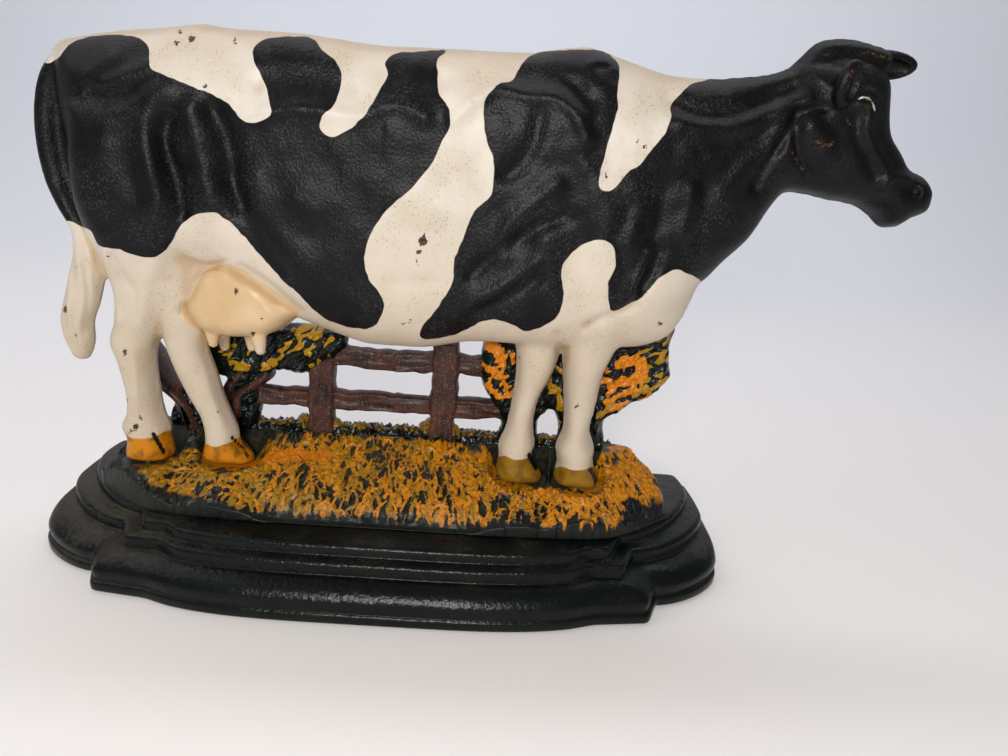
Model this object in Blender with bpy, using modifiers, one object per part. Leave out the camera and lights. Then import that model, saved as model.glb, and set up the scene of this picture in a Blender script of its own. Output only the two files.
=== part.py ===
"""Cast iron doorstop: a painted dairy cow on a grassy bank before a fence and hedge, on a stepped plinth.

Run it with blender --background --python part.py, or from the text editor.
X runs from the tail to the muzzle, Y from the front to the flat back, Z up from the floor.
Outlines are written from the middle of the plinth's front, and one empty carries every piece, so that the
origin ends up on the floor in the middle of the whole object.
"""

import math

import bmesh
import bpy
from mathutils import Vector

mm = 0.001

# Gaps between pieces
SEAT_GAP = 0.3 * mm  # between two pieces that sit on each other
SCREW_CLEARANCE = 0.3 * mm  # round a screw's shank in its hole
HOOF_ROOM = 1.5 * mm  # round a hoof in its seat on the bank

# Felt pads under the plinth
PAD_THICKNESS = 1.2 * mm
PAD_RADIUS = 7 * mm

# Plinth, a hollow stepped casting with a flat back
CORNER_HALF_LENGTH = 110 * mm  # to the front corners of the two end blocks
BLOCK_INNER_END = 88 * mm
BOW_DEPTH = 11.5 * mm  # how far the front bows out past the block corners
BLOCK_TURN = 3 * mm  # how far the block's inner end stands proud of its corner
NOTCH_OUT = 5 * mm  # the notch between block and lobe, out from the corner
NOTCH_BACK = 12 * mm
LOBE_HALF_LENGTH = 145 * mm
LOBE_BACK = 34 * mm  # where the lobe is widest
PLINTH_BACK = 81 * mm
LIP_HEIGHT = 4 * mm
OVOLO_HEIGHT = 10 * mm
OVOLO_DEPTH = 9 * mm
MIDDLE_STEP_HEIGHT = 5.5 * mm
TOP_STEP_HEIGHT = 5 * mm
LEDGE = 6.5 * mm  # depth of the ledge between the two upper steps
LEDGE_FALL = 0.4 * mm  # how much the ledge falls towards the front
NOSE = 1.2 * mm  # rounding of each step's edge
PLINTH_WALL = 5 * mm
PAD_LANDING_RADIUS = 9 * mm

# Bank of grass, a casting bolted to the plinth
BANK_HALF_LENGTH = 122 * mm
BANK_FRONT = 17.5 * mm
BANK_BACK = 76 * mm
HOOF_SEAT_RISE = 14 * mm  # the hooves' level over the plinth's top
RIDGE_RISE = 22 * mm  # the fence's level over the plinth's top
RIDGE_FRONT = 51 * mm
RIDGE_BACK = 67 * mm
RIDGE_HALF_LENGTH = 104 * mm
BANK_CEILING = 7 * mm  # iron left under the hooves, over the screws' heads
POCKET_HALF_LENGTH = 42 * mm
POCKET_FRONT = 35 * mm
POCKET_BACK = 64 * mm
BANK_SCREW_SPREAD = 52 * mm  # from the middle to each screw that holds the bank
BANK_SCREW_FRONT = 34 * mm
BANK_SCREW_BACK = 60 * mm

# Cow, two hollow half castings that meet on one upright plane
COW_PLANE = 40 * mm
COW_WALL = 5 * mm
NEAR_LEG_FORWARD = 2 * mm  # how far the near legs stand in front of that plane
BOSS_RADIUS = 7 * mm
CASTING_SIDES = 24
CASTING_FULLNESS = 2.8  # how squarely the flanks turn over the back and the belly; 2 is an ellipse

# Fence and hedge, one openwork casting
FENCE_PLANE = 58 * mm
FENCE_THICKNESS = 9 * mm
RAIL_THICKNESS = 6.5 * mm
HEDGE_THICKNESS = 13 * mm
FENCE_FOOT_HEIGHT = 5 * mm
FENCE_FOOT_LEFT = 98 * mm  # how far its foot reaches from the middle to each side
FENCE_FOOT_RIGHT = 92 * mm

# Machine screws
SHANK_RADIUS = 2 * mm
HEAD_RADIUS = 4 * mm
HEAD_HEIGHT = 2.6 * mm
BODY_SCREW_LENGTH = 22 * mm
BODY_SCREW_HEAD_IN = 13 * mm  # from the parting plane to the underside of the head
HOOF_SCREW_BITE = 8 * mm
POST_SCREW_BITE = 9 * mm
BANK_SCREW_BITE = 5 * mm
HOLE_END_ROOM = 1.5 * mm
HEAD_ROOM = 0.6 * mm  # round a screw's head in its counterbore
HOOF_SCREW_EDGE = 2 * mm  # iron between a hoof's screw hole and the parting plane

# Levels over the floor that follow from the sizes above
PLINTH_FOOT = PAD_THICKNESS + SEAT_GAP
LIP_TOP = PLINTH_FOOT + LIP_HEIGHT
OVOLO_TOP = LIP_TOP + OVOLO_HEIGHT
MIDDLE_TOP = OVOLO_TOP + MIDDLE_STEP_HEIGHT
PLINTH_TOP = MIDDLE_TOP + TOP_STEP_HEIGHT
BANK_FOOT = PLINTH_TOP + SEAT_GAP
HOOF_SEAT = PLINTH_TOP + HOOF_SEAT_RISE
SOLE = HOOF_SEAT + SEAT_GAP
RIDGE_TOP = PLINTH_TOP + RIDGE_RISE
FENCE_FOOT = RIDGE_TOP + SEAT_GAP

# The cow's sections, in mm from the plinth's middle and over her soles: (x, z) of one edge, (x, z) of the
# other, and half the thickness across
TRUNK = (
    ((-119, 155), (-118, 132), 6),
    ((-115, 161), (-114, 112), 13),
    ((-108, 164), (-108, 94), 19),
    ((-97, 165), (-98, 86), 20),
    ((-80, 167.5), (-80, 83), 21.5),
    ((-65, 169), (-64, 79), 21.5),
    ((-48, 168.5), (-48, 71), 22),
    ((-28, 168), (-28, 63), 23),
    ((-10, 167), (-10, 57.5), 23.5),
    ((12, 167), (12, 57), 23.5),
    ((32, 167.5), (32, 60), 22.5),
    ((50, 168.5), (50, 61), 22),
    ((68, 170.5), (68, 61), 21.5),
    ((85, 166.5), (86, 62), 20.5),
    ((98, 164), (100, 63.5), 18.5),
    ((106, 161), (110, 68), 15),
    ((112, 152), (117, 79), 12),
)
NECK = (
    ((88, 160), (100, 72), 17),
    ((100, 164), (112, 75), 17),
    ((113, 164), (120, 90), 16),
    ((124, 165), (128, 101), 14),
    ((133, 167), (136, 110), 12.5),
    ((140, 170), (143, 123), 12.5),
    ((147, 177), (147, 126.5), 13),
    ((156, 180), (152, 126.5), 13.5),
    ((170, 176), (158, 125.5), 14),
    ((177, 166), (165, 125), 13.5),
    ((180, 151), (174, 123), 11.5),
    ((187, 140.5), (180, 119.5), 10),
    ((196, 135.5), (187, 116.5), 9.5),
    ((199.5, 132), (193, 119.5), 8.5),
    ((200.3, 128), (198, 122), 5),
)
NEAR_HIND_LEG = (
    ((-106, 158), (-79, 160), 12),
    ((-111, 146), (-77, 150), 19),
    ((-114, 128), (-69, 134), 21.5),
    ((-114.5, 108), (-67, 112), 21.5),
    ((-112, 94), (-71, 97), 18),
    ((-109.5, 84), (-76, 86), 14.5),
    ((-107.5, 77), (-79, 77), 12),
    ((-107, 69), (-81, 68), 11),
    ((-108.5, 61), (-86, 62), 10),
    ((-111, 54), (-91, 56), 9),
    ((-111, 49), (-93.5, 50), 8.5),
    ((-109, 41), (-95, 44), 7.5),
    ((-107.5, 30), (-94, 34), 7),
    ((-108, 21), (-93, 24), 7),
    ((-111, 14), (-91, 14.5), 8),
    ((-109, 10), (-90.5, 10), 8.5),
    ((-110, 0), (-90, 0), 9.5),
)
FAR_HIND_LEG = (
    ((-104, 110), (-68, 110), 16),
    ((-98, 82), (-70, 82), 14),
    ((-92, 60), (-72, 60), 9.5),
    ((-90, 50), (-73.5, 51), 8.5),
    ((-87, 39), (-71, 42), 7.5),
    ((-82, 27), (-69, 33), 7),
    ((-78, 19), (-65.5, 23), 7),
    ((-77, 13), (-63, 15), 8),
    ((-77, 9), (-63, 11), 8.5),
    ((-77.5, 0), (-58, 0), 9.5),
)
FAR_FRONT_LEG = (
    ((44, 100), (78, 100), 16),
    ((46, 78), (74, 78), 15),
    ((50, 60), (68.5, 60), 10),
    ((51, 52), (67, 51), 9),
    ((51, 45), (64.5, 46), 8),
    ((50.5, 38), (61.5, 38), 7.5),
    ((49.5, 30), (60, 30), 7),
    ((48.5, 24), (60.5, 22), 7),
    ((46, 17), (61.5, 16), 8),
    ((46.5, 11), (60.5, 11), 8.5),
    ((47.5, 0), (65, 0), 9.5),
)
NEAR_FRONT_LEG = (
    ((66, 142), (92, 142), 14),
    ((65, 132), (95, 132), 19),
    ((64, 112), (100, 112), 21.5),
    ((65, 94), (99, 94), 21),
    ((67, 78), (96, 78), 17.5),
    ((69, 60), (90, 60), 12),
    ((70, 50), (86.5, 50), 10.5),
    ((71, 41), (85.5, 42), 9),
    ((72, 33), (84.5, 34), 7.5),
    ((72.5, 24), (83.5, 27), 7),
    ((70, 17), (86.5, 17), 8),
    ((71.5, 10), (86.5, 10), 8.5),
    ((72, 0), (89, 0), 9.5),
)
TAIL = (
    ((-114, 161), (-108, 150), 5),
    ((-121, 156), (-113, 149), 4.5),
    ((-126.5, 149), (-117, 144), 4.5),
    ((-130, 138), (-120, 137), 4.5),
    ((-131, 125), (-121.5, 125), 4.5),
    ((-129.5, 112), (-120, 113), 4.5),
    ((-126, 102), (-117, 104), 5),
    ((-122.5, 94), (-111, 94), 5.5),
    ((-123, 86), (-110, 86), 6),
    ((-126, 75), (-112, 77), 6),
    ((-129, 65), (-115, 66), 6.5),
    ((-131, 58), (-118, 57), 6),
    ((-130, 48), (-119, 48), 5),
    ((-127.5, 42), (-122.5, 42), 3),
)
TAIL_WEB = (
    ((-121, 151), (-111, 151), 2.5),
    ((-127, 138), (-110, 138), 2.5),
    ((-128, 124), (-108, 124), 2.5),
    ((-124, 106), (-106, 106), 2.5),
    ((-119, 90), (-104, 90), 3),
    ((-117, 78), (-104, 78), 3),
)
UDDER = (
    ((-80, 72), (-77, 63), 9),
    ((-76, 79), (-72, 59), 13),
    ((-68, 85), (-66, 57.5), 15),
    ((-58, 86), (-57, 58), 15),
    ((-48, 82), (-48, 61), 13),
    ((-38, 75), (-40, 65), 11),
)
TEATS = (  # x and z of the tip, and how far behind the parting plane it hangs
    (-69.5, 52.5, -8), (-50.5, 51, -8), (-63, 52.5, 8), (-55, 53, 8),
)
TEAT_LENGTH = 10 * mm
TEAT_RADIUS = 3 * mm
NEAR_EAR = (
    ((146, 172.5), (156, 168), 5, 8),
    ((146.5, 171), (158, 164), 3.8, 13),
    ((148.5, 169), (158, 160), 2.8, 16.5),
    ((152, 165.5), (155.5, 159), 1.5, 18.5),
)
FAR_EAR = (
    ((158, 179), (162, 168), 5),
    ((169, 177.5), (170, 168), 5),
    ((178, 177.2), (178, 168.5), 4.5),
    ((185, 176), (183.5, 170), 3),
)
MUSCLES = (  # (x, z) of both ends of a ridge or a fold, its half width, and its height over the flank
    ((-94, 147), (-79, 154), 6, 1.6), ((-98, 142), (-88, 143), 5, -1.4), ((-96, 128), (-93, 102), 9, 1.6),
    ((-80, 136), (-79, 110), 8, 1.6), ((-75, 134), (-72, 107), 4, -1.8), ((-67.5, 134), (-65, 110), 5.5, 1.6),
    ((-60, 143), (-54, 110), 4.5, -1.8), ((-55, 120), (-38, 90), 5, -1.3), ((-44, 112), (-28, 92), 9, 1.2),
    ((-40, 151), (-12, 152), 8, -1.6), ((-40, 143), (13, 145), 5, 1.4), ((24, 146), (38, 155), 5, 1.6),
    ((38, 155), (66, 147), 5, 1.7), ((44, 160), (66, 154), 5, -1.4), ((51, 145), (43, 127), 5, -1.4),
    ((59, 124), (42, 101), 5, 1.6), ((63, 114), (32, 92), 4.5, -1.6), ((54, 97), (28, 76), 4.5, 1.2),
    ((57, 107), (58, 88), 7, 1.2), ((96, 154), (134, 160), 5.5, -1.6), ((99, 148), (138, 158), 5, 1.3),
    ((117, 124), (135, 149), 5, 1.2), ((107, 126), (105, 110), 5, 1.2), ((98, 104), (93, 91), 4, -1.5),
    ((94, 87), (108, 93), 8, 1.5), ((131, 134), (137, 154), 4, -1.4), ((144, 149), (149, 142), 6, 1.3),
)
BODY_SCREWS = (("rear", -88, 130), ("middle", 4, 112), ("front", 84, 122))

# Fence and hedge, in mm from the plinth's middle and over the ridge
POSTS = ((-37.5, -26), (15.5, 27))
POST_HEIGHT = 46 * mm
RAILS = ((-66, 50, 11.5, 20.5), (-40, 50, 31, 40.5))
LEFT_HEDGE = (
    (-116, 52), (-117, 60), (-112, 65.5), (-105, 63), (-100, 56), (-94, 50), (-82, 50), (-70, 48), (-56, 48),
    (-42, 49), (-30, 48), (-21, 47), (-21.5, 40), (-26, 35), (-32, 32), (-40, 27), (-50, 28), (-58, 22),
    (-58, 12), (-62, 0), (-70, 0), (-70, 14), (-74, 24), (-80, 18), (-80, 0), (-98, 0), (-95, 12),
    (-88, 26), (-88, 36), (-98, 42), (-108, 45),
)
RIGHT_HEDGE = (
    (37, 47), (44, 50), (60, 50), (80, 51), (96, 53), (106, 58), (114, 62), (117.5, 58), (116, 52),
    (116.5, 44), (118, 37.5), (115, 32), (110, 27), (104, 24), (98, 19), (92, 14), (92, 0), (74, 0),
    (72, 12), (68, 18), (63, 12), (62, 0), (46, 0), (47, 12), (41, 22), (37, 30),
)
HEDGE_EDGE = 4 * mm

SHIFT = Vector((
    -(NECK[-1][0][0] * mm - LOBE_HALF_LENGTH) / 2,
    -(PLINTH_BACK - BOW_DEPTH) / 2,
    0,
))


def clear_scene():
    for obj in list(bpy.data.objects):
        bpy.data.objects.remove(obj, do_unlink=True)


def new_collection(name, hidden=False):
    collection = bpy.data.collections.new(name)
    collection.hide_render = hidden
    bpy.context.scene.collection.children.link(collection)
    return collection


def paint(name, colour, roughness, metallic=0.0):
    material = bpy.data.materials.new(name)
    material.use_nodes = True
    shader = material.node_tree.nodes["Principled BSDF"]
    shader.inputs["Base Color"].default_value = (*colour, 1)
    shader.inputs["Roughness"].default_value = roughness
    shader.inputs["Metallic"].default_value = metallic
    material.diffuse_color = (*colour, 1)
    return material


def object_from(bm, name):
    """A new object holding this bmesh, its faces turned outwards, in the collection of helper shapes."""
    bmesh.ops.recalc_face_normals(bm, faces=bm.faces)
    if bm.calc_volume(signed=True) < 0:
        bmesh.ops.reverse_faces(bm, faces=bm.faces)
    mesh = bpy.data.meshes.new(name)
    bm.to_mesh(mesh)
    bm.free()
    obj = bpy.data.objects.new(name, mesh)
    obj.display_type = "WIRE"
    obj.hide_render = True
    helpers.objects.link(obj)
    return obj


def oval(upper, lower, thick, y, power=2.25, sides=CASTING_SIDES):
    """A closed section between two edge points, each (x, z) in mm, thick mm to each side of y."""
    upper = Vector((upper[0], 0, upper[1])) * mm
    lower = Vector((lower[0], 0, lower[1])) * mm
    middle, reach = (upper + lower) / 2, (upper - lower) / 2
    points = []
    for i in range(sides):
        angle = 2 * math.pi * i / sides
        along = math.sin(angle)
        across = math.copysign(max(1 - abs(along) ** power, 0) ** (1 / power), math.cos(angle))
        points.append(middle + reach * along + Vector((0, y + thick * mm * across, 0)))
    return points


def loft(name, rings):
    """A closed skin over rings that all have the same number of points."""
    bm = bmesh.new()
    loops = [[bm.verts.new(point) for point in ring] for ring in rings]
    count = len(loops[0])
    for first, second in zip(loops, loops[1:]):
        for i in range(count):
            j = (i + 1) % count
            bm.faces.new((first[i], first[j], second[j], second[i]))
    bm.faces.new(loops[0][::-1])
    bm.faces.new(loops[-1])
    return object_from(bm, name)


def box(name, low, high, bevel=0.0):
    bm = bmesh.new()
    bmesh.ops.create_cube(bm, size=1)
    low, high = Vector(low), Vector(high)
    for vert in bm.verts:
        vert.co = Vector([(a + b) / 2 + c * (b - a) for a, b, c in zip(low, high, vert.co)])
    if bevel:
        bmesh.ops.bevel(bm, geom=bm.edges[:], offset=bevel, segments=1, affect="EDGES")
    return object_from(bm, name)


def rod(name, foot, direction, length, radius, sides=16, tip=None):
    """A cylinder from foot along direction, or a cone to the radius tip."""
    bm = bmesh.new()
    tip = radius if tip is None else tip
    bmesh.ops.create_cone(bm, cap_ends=True, segments=sides, radius1=radius, radius2=tip, depth=length)
    direction = Vector(direction).normalized()
    turn = direction.to_track_quat("Z", "Y").to_matrix()
    for vert in bm.verts:
        vert.co = turn @ vert.co + Vector(foot) + direction * (length / 2)
    return object_from(bm, name)


def flat_outline(name, points, y, thickness, edge):
    """A filled outline of (x, z) points, with rounded edges, as a mesh."""
    curve = bpy.data.curves.new(name, "CURVE")
    curve.dimensions = "2D"
    curve.fill_mode = "BOTH"
    curve.extrude = thickness / 2 - edge
    curve.bevel_depth = edge
    curve.bevel_resolution = 1
    curve.offset = -edge
    spline = curve.splines.new("POLY")
    spline.points.add(len(points) - 1)
    for point, (x, z) in zip(spline.points, points):
        point.co = (x, z, 0, 1)
    spline.use_cyclic_u = True
    guide = bpy.data.objects.new(name + "_guide", curve)
    guide.rotation_euler = (math.pi / 2, 0, 0)
    guide.location = (0, y, 0)
    helpers.objects.link(guide)
    bpy.context.view_layer.update()
    graph = bpy.context.evaluated_depsgraph_get()
    mesh = bpy.data.meshes.new_from_object(guide.evaluated_get(graph))
    bm = bmesh.new()
    bm.from_mesh(mesh)
    bmesh.ops.transform(bm, matrix=guide.matrix_world, verts=bm.verts)
    bmesh.ops.remove_doubles(bm, verts=bm.verts, dist=0.01 * mm)
    bpy.data.meshes.remove(mesh)
    bpy.data.objects.remove(guide)
    return object_from(bm, name)


def combine(target, operation, *others):
    """Joins, cuts or trims target with the other shapes, for good, and removes them."""
    for other in others:
        step = target.modifiers.new(other.name, "BOOLEAN")
        step.operation = operation
        step.solver = "MANIFOLD"
        step.object = other
    bpy.context.view_layer.update()
    graph = bpy.context.evaluated_depsgraph_get()
    mesh = bpy.data.meshes.new_from_object(target.evaluated_get(graph))
    target.modifiers.clear()
    old, target.data = target.data, mesh
    bpy.data.meshes.remove(old)
    for other in others:
        mesh = other.data
        bpy.data.objects.remove(other)
        bpy.data.meshes.remove(mesh)
    return target


def copy_of(obj, name):
    twin = obj.copy()
    twin.data = obj.data.copy()
    twin.name = name
    helpers.objects.link(twin)
    return twin


def finish(obj, name, material, smooth_angle=math.radians(35)):
    """Makes a shape one of the doorstop's pieces."""
    obj.name = name
    obj.data.name = name
    obj.data.materials.clear()
    obj.data.materials.append(material)
    obj.data.shade_smooth()
    obj.data.set_sharp_from_angle(angle=smooth_angle)
    obj.display_type = "TEXTURED"
    obj.hide_render = False
    helpers.objects.unlink(obj)
    doorstop.objects.link(obj)
    obj.parent = carrier
    return obj


def step_outline(inset_x, inset_y, z):
    """The plinth's plan at one level, drawn in by inset_x at the ends and inset_y at the front."""
    corner = CORNER_HALF_LENGTH - inset_x
    inner = BLOCK_INNER_END - inset_x * 0.3
    right = []
    bow_steps = 7
    for i in range(bow_steps):
        x = inner * i / bow_steps
        out = BLOCK_TURN + (BOW_DEPTH - BLOCK_TURN) * (1 - (i / bow_steps) ** 4)
        right.append((x, inset_y - out))
    right.append((inner, inset_y - BLOCK_TURN))
    right.append((corner, inset_y))
    notch = (corner + NOTCH_OUT, inset_y + NOTCH_BACK)
    right.append(notch)
    widest = (LOBE_HALF_LENGTH - inset_x * 0.85, LOBE_BACK + inset_y * 0.3)
    lobe_steps = 7
    for i in range(1, lobe_steps + 1):
        angle = math.pi / 2 * i / lobe_steps
        right.append((
            notch[0] + (widest[0] - notch[0]) * math.sin(angle) ** 1.3,
            notch[1] + (widest[1] - notch[1]) * (1 - math.cos(angle) ** 1.3),
        ))
    right.append((widest[0], (widest[1] + PLINTH_BACK) / 2))
    right.append((widest[0] - 2 * mm, PLINTH_BACK))
    left = [(-x, y) for x, y in reversed(right[1:])]
    return [Vector((x, y, z)) for x, y in right + left]


def make_plinth():
    levels = [(0.5 * mm, 0.5 * mm, PLINTH_FOOT), (0, 0, PLINTH_FOOT + 0.8 * mm), (0, 0, LIP_TOP)]
    ovolo_steps = 4
    for i in range(1, ovolo_steps + 1):
        angle = math.pi / 2 * i / ovolo_steps
        drawn_in = OVOLO_DEPTH * (1 - math.cos(angle))
        levels.append((drawn_in * 1.15, drawn_in * 0.95, LIP_TOP + OVOLO_HEIGHT * math.sin(angle)))
    in_x, in_y = levels[-1][:2]
    for top in (MIDDLE_TOP, PLINTH_TOP):
        levels.append((in_x + 0.3 * mm, in_y + 0.3 * mm, top - NOSE))
        levels.append((in_x + NOSE, in_y + NOSE, top))
        in_x, in_y = in_x + LEDGE * 0.9, in_y + LEDGE
        if top is MIDDLE_TOP:
            levels.append((in_x, in_y, top + LEDGE_FALL))
    plinth = loft("plinth", [step_outline(*level) for level in levels])
    rising = PLINTH_WALL + OVOLO_DEPTH
    deep = [
        hollow_outline(PLINTH_WALL, PLINTH_FOOT - 5 * mm),
        hollow_outline(PLINTH_WALL, LIP_TOP),
        hollow_outline(rising, OVOLO_TOP - PLINTH_WALL / 2),
        hollow_outline(rising + LEDGE, PLINTH_TOP - PLINTH_WALL),
    ]
    core = loft("plinth_hollow", deep)
    landings = [
        rod("landing", (x, y, PLINTH_FOOT - 8 * mm), (0, 0, 1), PLINTH_TOP + 10 * mm, PAD_LANDING_RADIUS)
        for x, y in pad_places().values()
    ]
    combine(core, "DIFFERENCE", *landings)
    combine(plinth, "DIFFERENCE", core)
    holes = [
        rod("hole", (x, y, PLINTH_FOOT), (0, 0, 1), PLINTH_TOP, SHANK_RADIUS + SCREW_CLEARANCE, 12)
        for x, y in bank_screw_places().values()
    ]
    combine(plinth, "DIFFERENCE", *holes)
    return finish(plinth, "plinth", dark_green_enamel)


def hollow_outline(inset, z):
    """The hollow's plan: the plinth's in few corners, drawn in all round, with a wall left at the flat back."""
    right = (
        (0, inset - BOW_DEPTH),
        (BLOCK_INNER_END * 0.6, inset - BOW_DEPTH * 0.85),
        (CORNER_HALF_LENGTH - inset, inset),
        (CORNER_HALF_LENGTH + NOTCH_OUT - inset, inset + NOTCH_BACK),
        (LOBE_HALF_LENGTH - inset, LOBE_BACK + inset / 2),
        (LOBE_HALF_LENGTH - inset, PLINTH_BACK - PLINTH_WALL),
    )
    left = tuple((-x, y) for x, y in reversed(right[1:]))
    return [Vector((x, y, z)) for x, y in right + left]


def pad_places():
    """The pads sit under the front's middle, the two lobes and the back's middle."""
    inset = PAD_LANDING_RADIUS + 2 * mm
    return {
        "front": (-5 * mm, inset - BOW_DEPTH),
        "left": (inset - LOBE_HALF_LENGTH, LOBE_BACK + 12 * mm),
        "right": (LOBE_HALF_LENGTH - inset, LOBE_BACK + 12 * mm),
        "back": (0, PLINTH_BACK - inset),
    }


def bank_screw_places():
    x = BANK_SCREW_SPREAD
    return {
        "front_left": (-x, BANK_SCREW_FRONT),
        "front_right": (x, BANK_SCREW_FRONT),
        "back_left": (-x, BANK_SCREW_BACK),
        "back_right": (x, BANK_SCREW_BACK),
    }


def hoof_places():
    """The middle of each sole: x and y."""
    places = {}
    for name, leg, y in (
        ("near_hind", NEAR_HIND_LEG, COW_PLANE - NEAR_LEG_FORWARD),
        ("far_hind", FAR_HIND_LEG, COW_PLANE),
        ("far_front", FAR_FRONT_LEG, COW_PLANE),
        ("near_front", NEAR_FRONT_LEG, COW_PLANE - NEAR_LEG_FORWARD),
    ):
        upper, lower, thick = leg[-1]
        places[name] = ((upper[0] + lower[0]) / 2 * mm, y, abs(lower[0] - upper[0]) / 2 * mm, thick * mm)
    return places


def bank_ring(half_length, front, back, z, sides=44):
    """One contour of the bank: a long rounded plan."""
    middle, depth = (front + back) / 2, (back - front) / 2
    points = []
    for i in range(sides):
        angle = 2 * math.pi * i / sides
        along, across = (
            math.copysign(abs(value) ** 0.55, value) for value in (math.cos(angle), math.sin(angle))
        )
        points.append(Vector((half_length * along, middle + depth * across, z)))
    return points


def make_bank():
    rings = []
    rise = RIDGE_TOP - BANK_FOOT
    for share, bulge in ((0, 0), (0.12, 0.02), (0.35, 0.03), (0.6, 0.03), (0.85, 0.02), (1, 0)):
        climb = share - bulge
        rings.append(bank_ring(
            BANK_HALF_LENGTH + (RIDGE_HALF_LENGTH - BANK_HALF_LENGTH) * climb,
            BANK_FRONT + (RIDGE_FRONT - BANK_FRONT) * climb,
            BANK_BACK + (RIDGE_BACK - BANK_BACK) * climb,
            BANK_FOOT + rise * share,
        ))
    bank = loft("grass_bank", rings)
    seats, clearings = [], []
    for x, y, half_length, thick in hoof_places().values():
        seat = half_length + HOOF_ROOM - 0.5 * mm, thick + HOOF_ROOM - 0.5 * mm
        seats.append(upright("seat", x, y, *seat, BANK_FOOT + 1 * mm, HOOF_SEAT + 1 * mm))
        room = half_length + HOOF_ROOM, thick + HOOF_ROOM
        clearings.append(upright("clearing", x, y, *room, HOOF_SEAT, RIDGE_TOP + 10 * mm))
    combine(bank, "UNION", *seats)
    combine(bank, "DIFFERENCE", *clearings)
    ceiling = HOOF_SEAT - BANK_CEILING
    hollows = [
        box(
            "pocket",
            (-POCKET_HALF_LENGTH, POCKET_FRONT, BANK_FOOT - 5 * mm),
            (POCKET_HALF_LENGTH, POCKET_BACK, ceiling),
        )
    ]
    head_hole = HEAD_RADIUS + HEAD_ROOM
    hollows += [
        rod("counterbore", (x, y, BANK_FOOT - 5 * mm), (0, 0, 1), ceiling - BANK_FOOT + 5 * mm, head_hole)
        for x, y in hoof_screw_places().values()
    ]
    combine(bank, "DIFFERENCE", *hollows)
    hole = SHANK_RADIUS + SCREW_CLEARANCE
    holes = [
        rod("hole", (x, y, ceiling - 1 * mm), (0, 0, 1), RIDGE_TOP, hole, 12)
        for x, y in list(hoof_screw_places().values()) + list(post_screw_places().values())
    ]
    holes += [
        rod("hole", (x, y, BANK_FOOT - 1 * mm), (0, 0, 1), BANK_SCREW_BITE + HOLE_END_ROOM + 1 * mm, hole, 12)
        for x, y in bank_screw_places().values()
    ]
    combine(bank, "DIFFERENCE", *holes)
    return finish(bank, "grass_bank", grass_green)


def upright(name, x, y, half_length, half_depth, foot, top, sides=16):
    """An upright oval block."""
    rings = []
    for z in (foot, top):
        rings.append([
            Vector((
                x + half_length * math.cos(2 * math.pi * i / sides),
                y + half_depth * math.sin(2 * math.pi * i / sides),
                z,
            ))
            for i in range(sides)
        ])
    return loft(name, rings)


def cow_shape(name, sections, y, sides=CASTING_SIDES, fullness=2.25):
    return loft(name, [
        [point + Vector((0, 0, SOLE)) for point in oval(upper, lower, thick, y, fullness, sides)]
        for upper, lower, thick in sections
    ])


def with_halfway_sections(sections):
    """The sections with one more on the smooth curve between each two."""
    def halfway(before, first, second, after):
        return (9 * (first + second) - before - after) / 16

    finer = [sections[0]]
    for i in range(1, len(sections)):
        before, first, second, after = (
            sections[min(max(j, 0), len(sections) - 1)] for j in (i - 2, i - 1, i, i + 1)
        )
        near_by = (before, first, second, after)
        edges = [tuple(halfway(*values) for values in zip(*(section[k] for section in near_by))) for k in (0, 1)]
        finer.append((*edges, halfway(before[2], first[2], second[2], after[2])))
        finer.append(second)
    return finer


def muscled(shape):
    """Raises the ridges and sinks the folds of the flanks, alike on both sides."""
    for vert in shape.data.vertices:
        out = vert.co.y - COW_PLANE
        place = Vector((vert.co.x, vert.co.z - SOLE)) / mm
        rise = 0
        for start, end, half_width, height in MUSCLES:
            start, end = Vector(start), Vector(end)
            along = (place - start).dot(end - start) / (end - start).length_squared
            off = (place - start.lerp(end, min(max(along, 0), 1))).length
            rise += height * math.exp(-(off / half_width) ** 2)
        vert.co.y += math.copysign(min(abs(out) / (8 * mm), 1) * rise * mm, out)
    return shape


def whole_cow():
    near, far = COW_PLANE - NEAR_LEG_FORWARD, COW_PLANE
    full = CASTING_FULLNESS
    cow = muscled(cow_shape("trunk", with_halfway_sections(TRUNK), COW_PLANE, fullness=full))
    forms = [
        muscled(cow_shape("neck_and_head", with_halfway_sections(NECK), COW_PLANE, fullness=full)),
        cow_shape("near_hind_leg", NEAR_HIND_LEG, near, 16),
        cow_shape("far_hind_leg", FAR_HIND_LEG, far, 16),
        cow_shape("far_front_leg", FAR_FRONT_LEG, far, 16),
        cow_shape("near_front_leg", NEAR_FRONT_LEG, near, 16),
        cow_shape("tail", TAIL, COW_PLANE, 12),
        cow_shape("tail_web", TAIL_WEB, COW_PLANE, 8),
        cow_shape("udder", UDDER, COW_PLANE, 14),
        cow_shape("far_ear", FAR_EAR, COW_PLANE, 10),
        loft("near_ear", [
            [Vector((0, 0, SOLE)) + point for point in oval(upper, lower, thick, COW_PLANE - out * mm, sides=10)]
            for upper, lower, thick, out in NEAR_EAR
        ]),
    ]
    for x, z, behind in TEATS:
        foot = (x * mm, COW_PLANE + behind * mm, SOLE + z * mm)
        forms.append(rod("teat", foot, (0, 0, 1), TEAT_LENGTH, TEAT_RADIUS * 0.7, 10, TEAT_RADIUS))
    return combine(cow, "UNION", *forms)


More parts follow.
